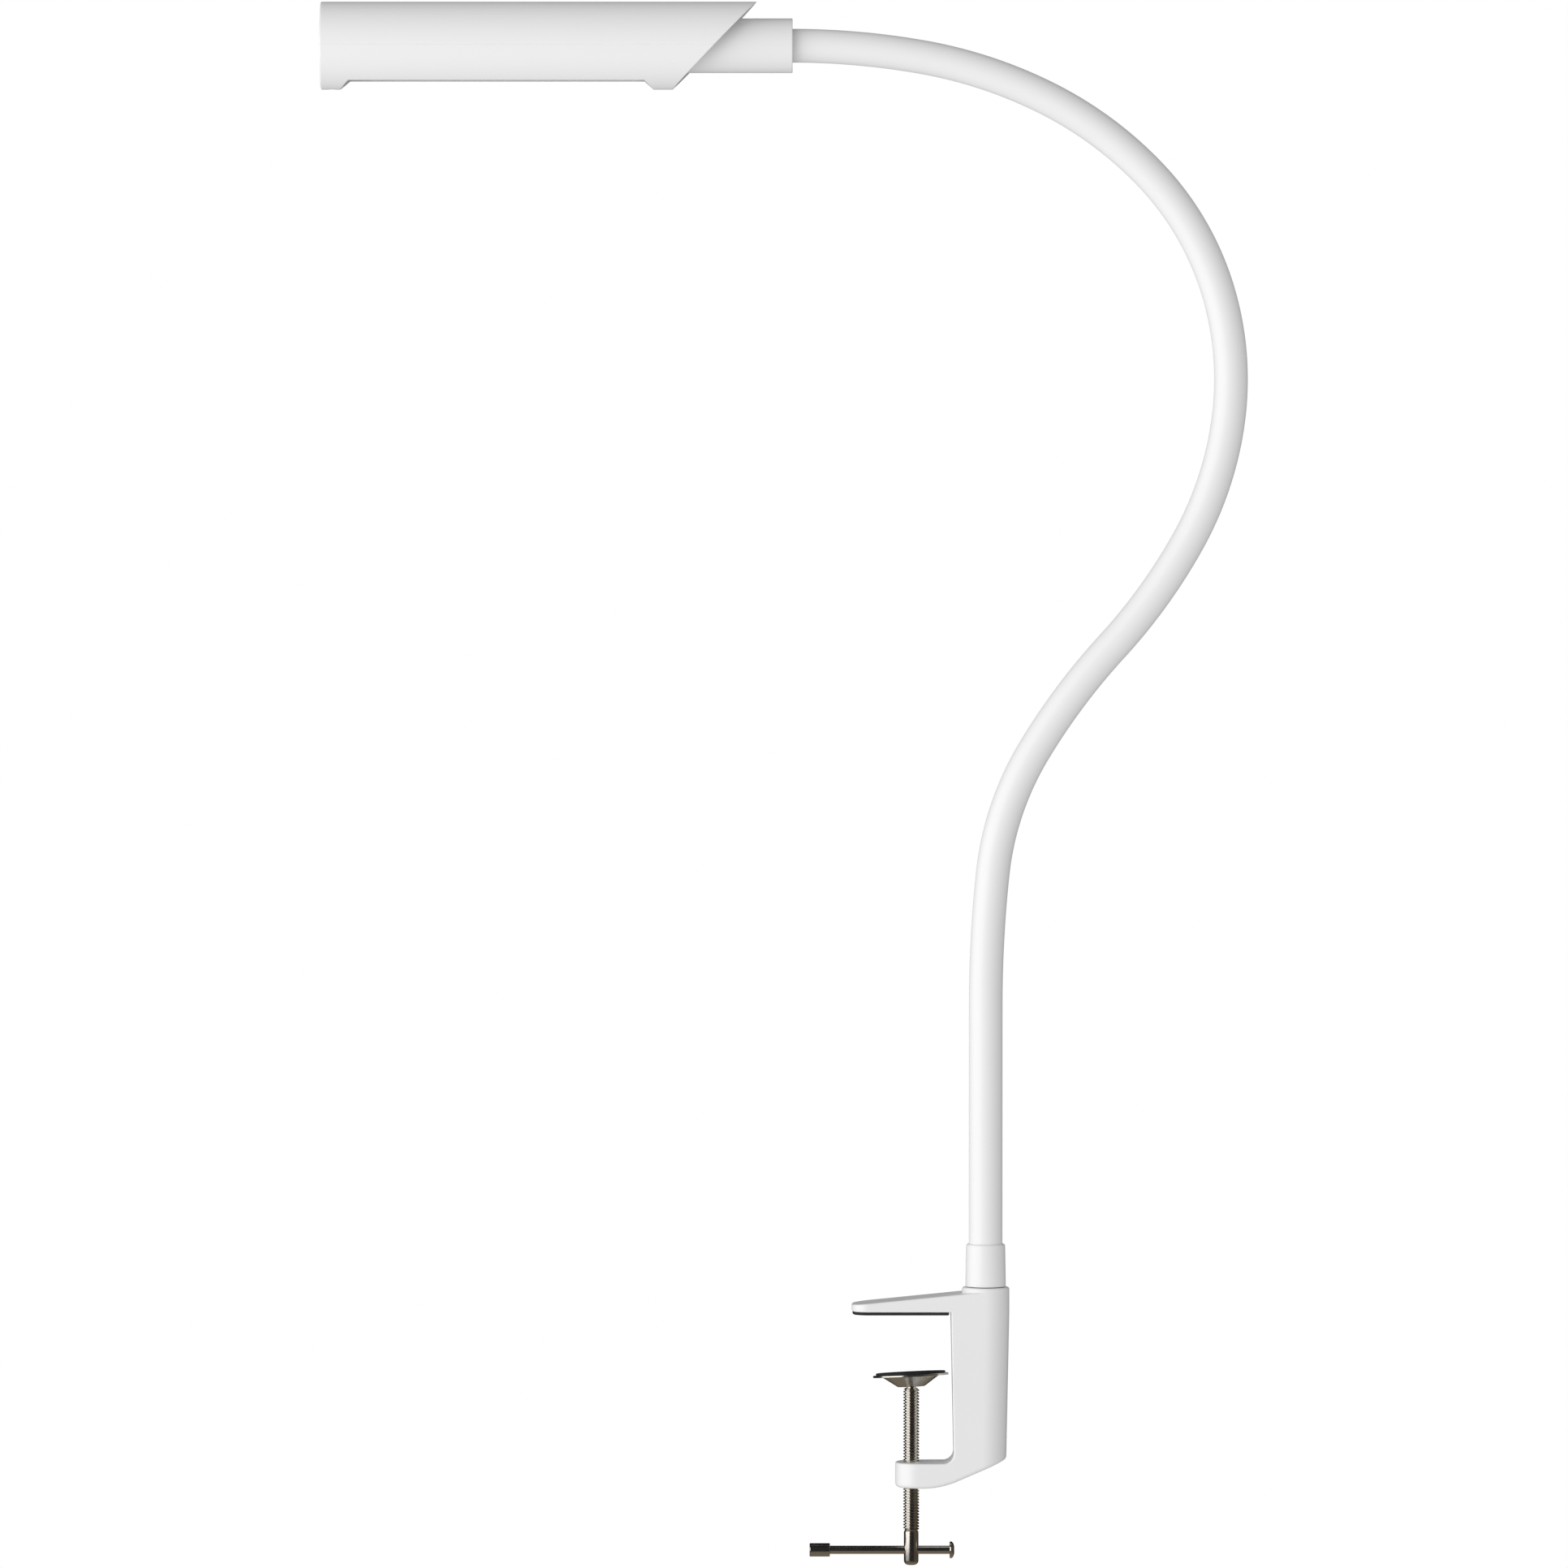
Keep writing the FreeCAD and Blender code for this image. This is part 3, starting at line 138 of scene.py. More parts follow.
# ---------------------------------------------------------------- materials: tools
class Signal:
    """A value in a node tree. Sums, differences and products of signals add their Math nodes."""

    def __init__(self, nodes, socket):
        self.nodes = nodes
        self.socket = socket

    def _math(self, operation, first, second=0.0):
        node = self.nodes.node("ShaderNodeMath", {"operation": operation}, {0: first, 1: second})
        return Signal(self.nodes, node.outputs[0])

    def __add__(self, other):
        return self._math("ADD", self, other)

    def __radd__(self, other):
        return self._math("ADD", other, self)

    def __sub__(self, other):
        return self._math("SUBTRACT", self, other)

    def __rsub__(self, other):
        return self._math("SUBTRACT", other, self)

    def __mul__(self, other):
        return self._math("MULTIPLY", self, other)

    def __rmul__(self, other):
        return self._math("MULTIPLY", other, self)

    def above(self, level):
        """1 where the signal is over that level, 0 elsewhere."""
        return self._math("GREATER_THAN", self, level)

    def larger(self, other):
        """The larger of two signals."""
        return self._math("MAXIMUM", self, other)

    def sine(self):
        """Sine of the signal, which is an angle in radians."""
        return self._math("SINE", self)

    def rise(self, start, end):
        """Smooth step: 0 up to start, 1 from end on."""
        sockets = {"Value": self, "From Min": start, "From Max": end}
        node = self.nodes.node("ShaderNodeMapRange", {"interpolation_type": "SMOOTHSTEP"}, sockets)
        return Signal(self.nodes, node.outputs["Result"])


class Nodes:
    """A node tree and the ways to add to it; its patterns are worked out from the vector place."""

    def __init__(self, tree, coordinates):
        self.tree = tree
        self.place = self.node("ShaderNodeTexCoord").outputs[coordinates]

    def node(self, kind, settings=None, sockets=None):
        """Add any node: its type, its settings, and the values or links of its sockets."""
        node = self.tree.nodes.new(kind)
        for key, value in (settings or {}).items():
            setattr(node, key, value)
        for key, value in (sockets or {}).items():
            self.feed(node.inputs[key], value)
        return node

    def feed(self, socket, value):
        """Link a signal or a socket to that input, or set the input to a constant."""
        if isinstance(value, Signal):
            value = value.socket
        if isinstance(value, bpy.types.NodeSocket):
            self.tree.links.new(value, socket)
        else:
            socket.default_value = value

    def axis(self, name):
        """One coordinate of the place."""
        return Signal(self, self.node("ShaderNodeSeparateXYZ", None, {0: self.place}).outputs[name])

    def blend_colours(self, factor, first, second):
        """From the first colour at factor 0 to the second at 1; each is three numbers or a socket."""
        low, high = [(*colour, 1.0) if isinstance(colour, tuple) else colour for colour in (first, second)]
        sockets = {"Factor": factor, "A": low, "B": high}
        return self.node("ShaderNodeMix", {"data_type": "RGBA"}, sockets).outputs["Result"]


class Finish(Nodes):
    """One material: its node tree, with a Principled shader whose sockets the recipes fill in."""

    def __init__(self, name):
        self.material = bpy.data.materials.new(name)
        self.material.use_nodes = True
        super().__init__(self.material.node_tree, "Object")
        self.shader = self.tree.nodes["Principled BSDF"]

    def stretched(self, scale):
        """The object's own coordinates, stretched by a factor along each axis."""
        mapping = self.node("ShaderNodeMapping", None, {"Vector": self.place, "Scale": scale})
        return mapping.outputs["Vector"]

    def noise(self, scale, detail=2.0, roughness=0.5, where=None):
        """Smooth noise from 0 to 1; scale is in lumps to the metre."""
        sockets = {"Vector": where or self.place, "Scale": scale}
        sockets.update({"Detail": detail, "Roughness": roughness})
        return Signal(self, self.node("ShaderNodeTexNoise", None, sockets).outputs["Fac"])

    def relief(self, height, strength, depth):
        """Bump from a height signal into the shader's normal; depth is in metres."""
        sockets = {"Height": height, "Strength": strength, "Distance": depth}
        self.set(Normal=self.node("ShaderNodeBump", None, sockets).outputs["Normal"])

    def set(self, **values):
        """Fill the shader's sockets; an underscore in a name stands for a space."""
        for key, value in values.items():
            self.feed(self.shader.inputs[key.replace("_", " ")], value)


# ---------------------------------------------------------------- materials: recipes
def painted(name, colour, grain, gloss):
    """Powder coat on metal: fine orange peel, faint cloudiness, satin roughness that drifts a little."""
    f = Finish(name)
    cloud = f.noise(35.0, 3.0)
    peel = f.noise(grain, 2.0, 0.6)
    shade = tuple(c * 0.965 for c in colour)
    f.set(Base_Color=f.blend_colours(cloud * 0.6 + peel * 0.4, shade, colour))
    f.set(Roughness=gloss + cloud * 0.06 + peel * 0.05)
    f.set(Coat_Weight=0.12, Coat_Roughness=0.22)
    f.relief(peel, 0.10, 0.00012)
    return f.material


def moulded(name, colour, grain, gloss, relief=0.07):
    """Moulded or extruded plastic: a fine even texture and slight drift in tone."""
    f = Finish(name)
    drift = f.noise(18.0, 2.0)
    fine = f.noise(grain, 3.0, 0.65)
    shade = tuple(c * 0.975 for c in colour)
    f.set(Base_Color=f.blend_colours(drift * 0.7 + fine * 0.3, shade, colour))
    f.set(Roughness=gloss + drift * 0.05 + fine * 0.06)
    f.relief(fine, relief, 0.00008)
    return f.material


def rubber(name, colour, dust):
    """Matt rubber with a fine pebble and a little pale dust in patches."""
    f = Finish(name)
    pebble = f.noise(2600.0, 2.0, 0.7)
    patch = f.noise(90.0, 4.0, 0.6)
    f.set(Base_Color=f.blend_colours(patch * patch * (0.5 + pebble), colour, dust))
    f.set(Roughness=0.72 + pebble * 0.2)
    f.set(Specular_IOR_Level=0.35)
    f.relief(pebble, 0.35, 0.00010)
    return f.material


def plated(name, colour, gloss, rings, tint):
    """Plated or turned metal: tool marks stretched by rings along each axis, and uneven brightness."""
    f = Finish(name)
    marks = f.noise(900.0, 3.0, 0.6, f.stretched(rings))
    smear = f.noise(140.0, 3.0, 0.55)
    f.set(Base_Color=f.blend_colours(smear * 0.7 + marks * 0.3, colour, tint))
    f.set(Metallic=1.0)
    f.set(Roughness=gloss + smear * 0.10 + marks * 0.08)
    f.relief(marks, 0.06, 0.00004)
    return f.material


def frosted(name):
    """Translucent sheet: even white with a very fine frost."""
    f = Finish(name)
    frost = f.noise(3200.0, 3.0, 0.7)
    drift = f.noise(25.0)
    f.set(Base_Color=f.blend_colours(drift, (0.86, 0.88, 0.88), (0.93, 0.94, 0.93)))
    f.set(Roughness=0.5 + frost * 0.2)
    f.set(Transmission_Weight=0.25, IOR=1.49)
    f.relief(frost, 0.15, 0.00005)
    return f.material


def printed_board(name):
    """White solder mask over copper tracks that run along the board."""
    f = Finish(name)
    tracks = (f.axis("Y") * 1400.0).sine().above(0.86)
    fine = f.noise(1500.0)
    f.set(Base_Color=f.blend_colours(tracks * 0.5 + fine * 0.2, (0.86, 0.87, 0.85), (0.70, 0.74, 0.68)))
    f.set(Roughness=0.34 + fine * 0.1)
    f.relief(tracks, 0.3, 0.00003)
    return f.material


def phosphor(name):
    """Yellow phosphor with a paler, grainy surface."""
    f = Finish(name)
    grain = f.noise(5200.0, 2.0, 0.7)
    f.set(Base_Color=f.blend_colours(grain, (0.90, 0.66, 0.12), (0.97, 0.83, 0.38)))
    f.set(Roughness=0.45 + grain * 0.2)
    return f.material


def paired_wires(name):
    """Thin insulated wires: red on one side of the middle, black on the other."""
    f = Finish(name)
    side = f.axis("Y").above(0.0)
    fine = f.noise(1800.0)
    f.set(Base_Color=f.blend_colours(side, (0.03, 0.03, 0.035), (0.65, 0.05, 0.03)))
    f.set(Roughness=0.35 + fine * 0.15)
    return f.material


# Colours of the finishes, each with its paler tint below it where it is a metal.
WHITE = (0.905, 0.905, 0.905)
SOFT_WHITE = (0.91, 0.91, 0.91)
STEEL = (0.58, 0.58, 0.59)
PALE_STEEL = (0.72, 0.72, 0.73)
DARK_NICKEL = (0.60, 0.56, 0.50)
NICKEL = (0.74, 0.70, 0.64)
DULL_STEEL = (0.60, 0.575, 0.53)
DULL_PALE_STEEL = (0.78, 0.755, 0.71)
SPRING_GREY = (0.22, 0.22, 0.23)
PALE_SPRING_GREY = (0.34, 0.34, 0.35)
ALUMINIUM = (0.74, 0.74, 0.75)
PALE_ALUMINIUM = (0.84, 0.84, 0.85)
EXTRUDED = (0.76, 0.76, 0.77)
PALE_EXTRUDED = (0.86, 0.86, 0.87)
# Stretch of the tool marks along X, Y and Z: none, round an upright piece, round a level one.
EVEN = (1.0, 1.0, 1.0)
ROUND_Z = (0.15, 0.15, 9.0)
ROUND_X = (9.0, 0.15, 0.15)


def make_materials():
    """A finish for each of the record's material slots."""
    return {
        "clamp_paint": painted("clamp_paint", WHITE, 900.0, 0.36),
        "head_paint": painted("head_paint", WHITE, 1300.0, 0.34),
        "shade_plastic": moulded("shade_plastic", SOFT_WHITE, 2400.0, 0.42),
        "bulkhead_plastic": moulded("bulkhead_plastic", (0.84, 0.845, 0.84), 1800.0, 0.5),
        "ferrule_plastic": moulded("ferrule_plastic", WHITE, 1700.0, 0.34, 0.05),
        "neck_sleeve_plastic": moulded("neck_sleeve_plastic", SOFT_WHITE, 1500.0, 0.40, 0.06),
        "frosted_plastic": frosted("frosted_plastic"),
        "board_white": printed_board("board_white"),
        "led_package": phosphor("led_package"),
        "bush_plastic": moulded("bush_plastic", (0.70, 0.69, 0.64), 1500.0, 0.4),
        "lead_insulation": moulded("lead_insulation", (0.16, 0.16, 0.17), 1500.0, 0.45),
        "wire_insulation": paired_wires("wire_insulation"),
        "pad_rubber": rubber("pad_rubber", (0.012, 0.012, 0.013), (0.05, 0.05, 0.052)),
        "inlet_rubber": rubber("inlet_rubber", (0.66, 0.66, 0.65), (0.78, 0.78, 0.77)),
        "dark_chrome": plated("dark_chrome", DARK_NICKEL, 0.07, ROUND_Z, NICKEL),
        "dark_chrome_bar": plated("dark_chrome_bar", DARK_NICKEL, 0.07, ROUND_X, NICKEL),
        "disc_steel": plated("disc_steel", DULL_STEEL, 0.11, EVEN, DULL_PALE_STEEL),
        "plated_steel": plated("plated_steel", STEEL, 0.28, EVEN, PALE_STEEL),
        "turned_steel": plated("turned_steel", STEEL, 0.25, ROUND_Z, PALE_STEEL),
        "spring_steel": plated("spring_steel", SPRING_GREY, 0.35, EVEN, PALE_SPRING_GREY),
        "turned_aluminium": plated("turned_aluminium", ALUMINIUM, 0.28, ROUND_X, PALE_ALUMINIUM),
        "carrier_aluminium": plated("carrier_aluminium", EXTRUDED, 0.36, ROUND_X, PALE_EXTRUDED),
    }


# ---------------------------------------------------------------- surfaces: tools
TUBE_SIDES = 64
MERGE = 1e-7                  # points closer than this are one


def new_piece(name, points, faces, sharp=35.0):
    """Mesh object from an array of points and lists of faces: doubles merged, faces turned outwards."""
    mesh = bpy.data.meshes.new(name)
    mesh.from_pydata(points, [], faces)
    bm = bmesh.new()
    bm.from_mesh(mesh)
    bmesh.ops.remove_doubles(bm, verts=bm.verts, dist=MERGE)
    bmesh.ops.recalc_face_normals(bm, faces=bm.faces)
    bm.to_mesh(mesh)
    bm.free()
    mesh.shade_smooth()
    mesh.set_sharp_from_angle(angle=math.radians(sharp))
    piece = bpy.data.objects.new(name, mesh)
    bpy.context.scene.collection.objects.link(piece)
    return piece


def grid_faces(rows, columns, row_step=0):
    """Quads of a grid closed round its columns; the last column meets the first row_step rows on."""
    row, column = np.meshgrid(np.arange(rows - 1), np.arange(columns), indexing="ij")
    beyond = column + 1 == columns
    right = np.where(beyond, 0, column + 1)
    lift = np.where(beyond, row_step, 0)
    keep = row + 1 + lift < rows
    corners = [row * columns + column, (row + lift) * columns + right,
               (row + 1 + lift) * columns + right, (row + 1) * columns + column]
    return np.stack([c[keep] for c in corners], axis=1)


def tube(name, centres, side, other, radii, sharp=35.0):
    """Round tube with flat ends: about each centre, centre + radius (cos a side + sin a other)."""
    columns = TUBE_SIDES
    a = np.arange(columns) * 2 * math.pi / columns
    ring = np.cos(a)[None, :, None] * side[:, None, :] + np.sin(a)[None, :, None] * other[:, None, :]
    points = (centres[:, None, :] + radii[:, None, None] * ring).reshape(-1, 3)
    faces = grid_faces(len(centres), columns).tolist()
    faces.append(list(range(columns))[::-1])
    faces.append(list(range((len(centres) - 1) * columns, len(centres) * columns)))
    return new_piece(name, points, faces, sharp)


def rounded(corners, steps=6):
    """Outline through (radius, height, rounding) corners; a rounding is an arc tangent to both sides."""
    points = []
    count = len(corners)
    for k, (r, h, size) in enumerate(corners):
        here = np.array([r, h])
        if not size or k in (0, count - 1):
            points.append(here)
            continue
        back = np.array(corners[k - 1][:2]) - here
        ahead = np.array(corners[k + 1][:2]) - here
        back, ahead = back / np.linalg.norm(back), ahead / np.linalg.norm(ahead)
        half = math.acos(float(np.clip(back @ ahead, -1, 1))) / 2
        middle = (back + ahead) / np.linalg.norm(back + ahead)
        centre = here + middle * size / math.sin(half)
        first = here + back * size / math.tan(half) - centre
        last = here + ahead * size / math.tan(half) - centre
        sweep = math.pi - 2 * half
        for t in np.linspace(0, 1, steps):
            spoke = first * math.sin((1 - t) * sweep) + last * math.sin(t * sweep)
            points.append(centre + spoke / math.sin(sweep))
    return np.array(points)


def lathe(name, outline, base, axis, sides=96, closed=False, sharp=35.0):
    """Turned surface: base + height axis + radius (cos a u + sin a v), over the outline and the angle a."""
    axis = np.asarray(axis, float)
    u = np.cross(axis, ACROSS if abs(axis @ ACROSS) < 0.9 else UP)
    u /= np.linalg.norm(u)
    v = np.cross(axis, u)
    outline = np.vstack([outline, outline[:1]]) if closed else outline
    a = np.arange(sides) * 2 * math.pi / sides
    ring = np.cos(a)[:, None] * u + np.sin(a)[:, None] * v
    points = np.asarray(base) + outline[:, None, 1:2] * axis + outline[:, None, 0:1] * ring[None]
    faces = grid_faces(len(outline), sides).tolist()
    return new_piece(name, points.reshape(-1, 3), faces, sharp)


def finish_piece(piece, material, slot, *nodes):
    """Give a piece its material (the slot argument is not used), and hide the CAD nodes it stands for."""
    piece.data.materials.append(material)
    if nodes:
        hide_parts(*nodes)
    return piece


# ---------------------------------------------------------------- the neck
SLEEVE_R = 8.5 * MM
BEND_REACH = 29.0 * MM        # a distance each side of a hinge, along each bend piece's chord
NECK_STEP = 2.0 * MM          # length of one ring of the sleeve
SOCKET_DEPTH = 14.0 * MM      # the sleeve's end inside the hub
ROOT_START = 20.0 * MM        # the sleeve's foot inside the ferrule, above the ferrule's lower edge
SLEEVE_SHARP = 50.0           # degrees, edges sharper than this stay crisp


def neck_hinges():
    """The neck's hinge points in order, as (x, z), with the end of the neck last."""
    names = sorted((name for name in JOINTS if name.startswith(("neck_bend_", "neck_side_"))),
                   key=lambda name: int(name[-2:]))
    spots = [JOINTS[name]["pos_m"] for name in names] + [JOINTS["shade_turn"]["pos_m"]]
    return np.array([(spot[0], spot[2]) for spot in spots])


def neck_headings(hinges):
    """Lean from upright at each hinge, in radians; each link is an arc, so its chord leans midway."""
    lean = [0.0]
    for first, last in zip(hinges[:-1], hinges[1:]):
        chord = math.atan2(last[0] - first[0], last[1] - first[1])
        chord += 2 * math.pi * round((lean[-1] - chord) / (2 * math.pi))
        lean.append(2 * chord - lean[-1])
    return np.array(lean)


def along_link(hinges, lean, k, share):
    """Centres and leans on link k at shares from 0 to 1: an arc that turns evenly from lean to lean."""
    bend = lean[k + 1] - lean[k]
    chord = np.linalg.norm(hinges[k + 1] - hinges[k])
    radius = chord / (2 * math.sin(bend / 2))
    here = lean[k] + bend * share
    x = hinges[k, 0] + radius * (math.cos(lean[k]) - np.cos(here))
    z = hinges[k, 1] + radius * (np.sin(here) - math.sin(lean[k]))
    return np.stack([x, np.zeros_like(x), z], axis=1), here


def upright(x, heights):
    """Centres straight above each other."""
    return np.stack([np.full_like(heights, x), np.zeros_like(heights), heights], axis=1)


def sleeve_tube(name, centres, lean):
    """Piece of the sleeve about its centreline; its rings stand square to the lean."""
    side = np.stack([np.cos(lean), np.zeros_like(lean), -np.sin(lean)], axis=1)
    other = np.tile(ACROSS, (len(lean), 1))
    return tube(name, centres, side, other, np.full(len(lean), SLEEVE_R), SLEEVE_SHARP)


def make_neck(materials):
    """One smooth sleeve, split in the middle of every link, each piece running across one hinge."""
    hinges = neck_hinges()
    lean = neck_headings(hinges)
    links = len(hinges) - 1
    half_link = np.linalg.norm(hinges[1] - hinges[0]) / 2
    rings = int(half_link / NECK_STEP) + 1
    material = materials["neck_sleeve_plastic"]
    slot = "neck_sleeve_plastic"

    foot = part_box("base_ferrule")[0].z + ROOT_START
    top = hinges[0, 1] - half_link
    heights = np.linspace(foot, top, 2 + int((top - foot) / (4 * NECK_STEP)))
    root = sleeve_tube("neck_root_sleeve", upright(hinges[0, 0], heights), np.zeros_like(heights))
    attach(finish_piece(root, material, slot, "neck_sleeve_01"), "neck_root")

    for k in range(links):
        before = np.linspace(0.5, 1, rings)[:-1]
        after = np.linspace(0, 0.5, rings)
        if k == 0:
            heights = hinges[0, 1] + (before - 1) * 2 * half_link
            low, low_lean = upright(hinges[0, 0], heights), np.zeros_like(heights)
        else:
            low, low_lean = along_link(hinges, lean, k - 1, before)
        high, high_lean = along_link(hinges, lean, k, after)
        piece = sleeve_tube("neck_bend_sleeve_%02d" % (k + 1), np.vstack([low, high]),
                            np.concatenate([low_lean, high_lean]))
        finish_piece(piece, material, slot, "neck_sleeve_%02d" % (k + 2))
        middle = np.array([hinges[k, 0], 0.0, hinges[k, 1]])
        way = high[-1] - low[0]
        reach = way / np.linalg.norm(way) * BEND_REACH
        tuple(middle - reach)
        tuple(middle + reach)
        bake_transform(piece)

    last, last_lean = along_link(hinges, lean, links - 1, np.linspace(0.5, 1, rings))
    ahead = np.array([math.sin(last_lean[-1]), 0.0, math.cos(last_lean[-1])])
    last = np.vstack([last, last[-1] + ahead * SOCKET_DEPTH])
    end = sleeve_tube("neck_end_sleeve", last, np.append(last_lean, last_lean[-1]))
    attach(finish_piece(end, material, slot), "hub")


FERRULE_ROOM = 0.1 * MM       # round the sleeve
FERRULE_TAPER = 0.4 * MM      # narrower at the top, on the radius


def make_ferrule(materials):
    """Collar over the neck's foot: tapered wall, rounded shoulder, open down to the sleeve."""
    low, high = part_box("base_ferrule")
    centre = ((low.x + high.x) / 2, 0.0, low.z)
    foot_r = (high.x - low.x) / 2
    bore = SLEEVE_R + FERRULE_ROOM
    tall = high.z - low.z
    corners = [(bore, 0, 0), (foot_r, 0, 0.5 * MM), (foot_r - FERRULE_TAPER, tall, 1.15 * MM),
               (bore, tall, 0.15 * MM), (bore, 0, 0)]
    piece = lathe("foot_ferrule", rounded(corners, 8)[:-1], centre, UP, closed=True)
    slot = "ferrule_plastic"
    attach(finish_piece(piece, materials[slot], slot, "base_ferrule"), "neck_root")


# ---------------------------------------------------------------- clamping screw, bar and disc
PITCH = 1.5 * MM
THREAD_R = 4.0 * MM
THREAD_ROOT_R = 3.25 * MM
CORE_R = 3.2 * MM             # the core, just under the thread's root
THREAD_SHAPE = ((0.0, 0.0), (0.30, 0.0), (0.36, 0.16), (0.46, 0.88),    # share of a pitch and
                (0.52, 1.0), (0.80, 1.0), (0.86, 0.88), (0.96, 0.16))   # share of the thread's depth
THREAD_SIDES = 64
THREAD_SHARP = 40.0           # degrees
THREAD_UNDER_PIVOT = 1.3 * MM
THREAD_RUN_OUT = 0.8 * PITCH  # lower end, where the thread dies into the plain tail
THREAD_RUN_IN = 0.3 * PITCH   # upper end, just under the dish
SINK = 0.15 * MM              # the thread's ends sink this far under the root
TAIL_R = 3.7 * MM
TAIL_LENGTH = 17.2 * MM
TAIL_TIP_ROUND = 2.2 * MM
TAIL_STEP = 0.1 * MM          # the tail's upper edge is narrower by this much,
TAIL_SLOPE = 0.6 * MM         # over this length
RIVET_R = 3.6 * MM
RIVET_T = 1.0 * MM
RIVET_ROUND = 0.8 * MM
NECKED_R = 2.3 * MM
SHOULDER_UNDER_PIVOT = 1.2 * MM
FINE_EDGE = 0.2 * MM          # rounding of the small pieces' edges


def helix_ends(rows, per_turn, sides, centre_low, centre_high):
    """Fans that close a helical surface, each from an end turn's open edge to a centre point."""
    last = (rows - 1) * sides
    low = list(range(sides)) + [row * sides for row in range(per_turn, 0, -1)]
    high = [last + column for column in range(sides)]
    high += [(rows - row) * sides - 1 for row in range(2, per_turn + 2)]
    fans = []
    for loop, centre in ((low, centre_low), (high, centre_high)):
        fans += [[first, second, centre] for first, second in zip(loop, loop[1:] + loop[:1])]
    return fans


def make_thread(x, tail_top, thread_top):
    """Helical surface: radius by the share of a pitch, height = pitch (turns + share + angle / 2 pi)."""
    turns = int((thread_top - tail_top) / PITCH)
    share, rise = np.array(THREAD_SHAPE).T
    phase = (np.arange(turns + 1)[:, None] + share).reshape(-1)
    depth = (THREAD_R - THREAD_ROOT_R) * np.tile(rise, turns + 1) + SINK
    a = np.arange(THREAD_SIDES) * 2 * math.pi / THREAD_SIDES
    height = tail_top - PITCH + PITCH * (phase[:, None] + a[None, :] / (2 * math.pi))
    fade = np.clip((height - tail_top) / THREAD_RUN_OUT, 0, 1)
    fade *= np.clip((thread_top - height) / THREAD_RUN_IN, 0, 1)
    buried = np.where(height < thread_top, THREAD_ROOT_R, NECKED_R) - SINK
    radius = buried + depth[:, None] * fade
    points = np.stack([x + radius * np.cos(a), radius * np.sin(a), height], axis=2).reshape(-1, 3)
    rows, count = len(phase), len(points)
    faces = grid_faces(rows, THREAD_SIDES, len(share)).tolist()
    faces += helix_ends(rows, len(share), THREAD_SIDES, count, count + 1)
    middles = [[x, 0.0, height.min()], [x, 0.0, height.max()]]
    return new_piece("screw_thread", np.vstack([points, middles]), faces, THREAD_SHARP)


def make_screw(materials):
    """The helical thread, and the turned core with its riveted head, thinned neck and plain tail."""
    low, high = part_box("clamp_screw")
    pivot = JOINTS["disc_tilt"]["pos_m"][2]
    x = JOINTS["screw_turn"]["pos_m"][0]
    tail_top = low.z + TAIL_LENGTH
    thread = make_thread(x, tail_top, pivot - THREAD_UNDER_PIVOT)
    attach(finish_piece(thread, materials["dark_chrome"], "dark_chrome"), "screw")

    top = high.z
    shoulder = pivot - SHOULDER_UNDER_PIVOT
    corners = [(0, top, 0), (RIVET_R - RIVET_ROUND, top, 2 * FINE_EDGE),
               (RIVET_R, top - RIVET_ROUND, FINE_EDGE), (RIVET_R, top - RIVET_T, 0),
               (NECKED_R, top - RIVET_T, 0), (NECKED_R, shoulder, 0), (CORE_R, shoulder, FINE_EDGE / 2),
               (CORE_R, tail_top, 0), (TAIL_R - TAIL_STEP, tail_top, FINE_EDGE),
               (TAIL_R, tail_top - TAIL_SLOPE, FINE_EDGE), (TAIL_R, low.z, TAIL_TIP_ROUND), (0, low.z, 0)]
    core = lathe("screw_core", rounded(corners, 8), (x, 0.0, 0.0), UP, TUBE_SIDES)
    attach(finish_piece(core, materials["dark_chrome"], "dark_chrome", "clamp_screw"), "screw")


BAR_R = 2.1 * MM
BAR_HEAD_T = 2.3 * MM
CAP_SIDES = 72


def make_bar(materials):
    """Sliding bar with a domed rivet head, and the turned sleeve on its other end."""
    low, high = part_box("tommy_bar")
    cap_low, cap_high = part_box("tommy_bar_cap")
    z = (cap_low.z + cap_high.z) / 2
    head_r = (high.z - low.z) / 2
    end = high.x - low.x
    neck = end - BAR_HEAD_T
    corners = [(0, 0, 0), (BAR_R, 0, FINE_EDGE), (BAR_R, neck, 0), (head_r * 0.93, neck, 0.15 * MM),
               (head_r, neck + BAR_HEAD_T * 0.28, 0.35 * MM),
               (head_r * 0.86, neck + BAR_HEAD_T * 0.74, 1.2 * MM),
               (head_r * 0.45, end, 1.6 * MM), (0, end, 0)]
    bar = lathe("sliding_bar", rounded(corners, 8), (low.x, 0.0, z), ALONG, TUBE_SIDES)
    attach(finish_piece(bar, materials["dark_chrome_bar"], "dark_chrome", "tommy_bar"), "bar")
    cap_r = (cap_high.z - cap_low.z) / 2
    long = cap_high.x - cap_low.x
    corners = [(0, 0, 0), (cap_r, 0, 0.45 * MM), (cap_r, long, 0.35 * MM), (BAR_R, long, FINE_EDGE / 4),
               (BAR_R - FINE_EDGE, long - 2 * FINE_EDGE, 0)]
    cap = lathe("bar_cap", rounded(corners, 8), (cap_low.x, 0.0, z), ALONG, CAP_SIDES)
    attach(finish_piece(cap, materials["dark_chrome_bar"], "dark_chrome", "tommy_bar_cap"), "bar")


DISC_R = 19.1 * MM
DISC_RIM = 5.0 * MM
DISC_RISE = 5.8 * MM          # rim's top above the pivot
DISC_T = 1.0 * MM
DISC_FLOOR_R = 6.4 * MM
DISC_HOLE_R = 2.7 * MM
DISC_PAD_R = 17.6 * MM
DISC_PAD_T = 1.2 * MM
DISC_SIDES = 128


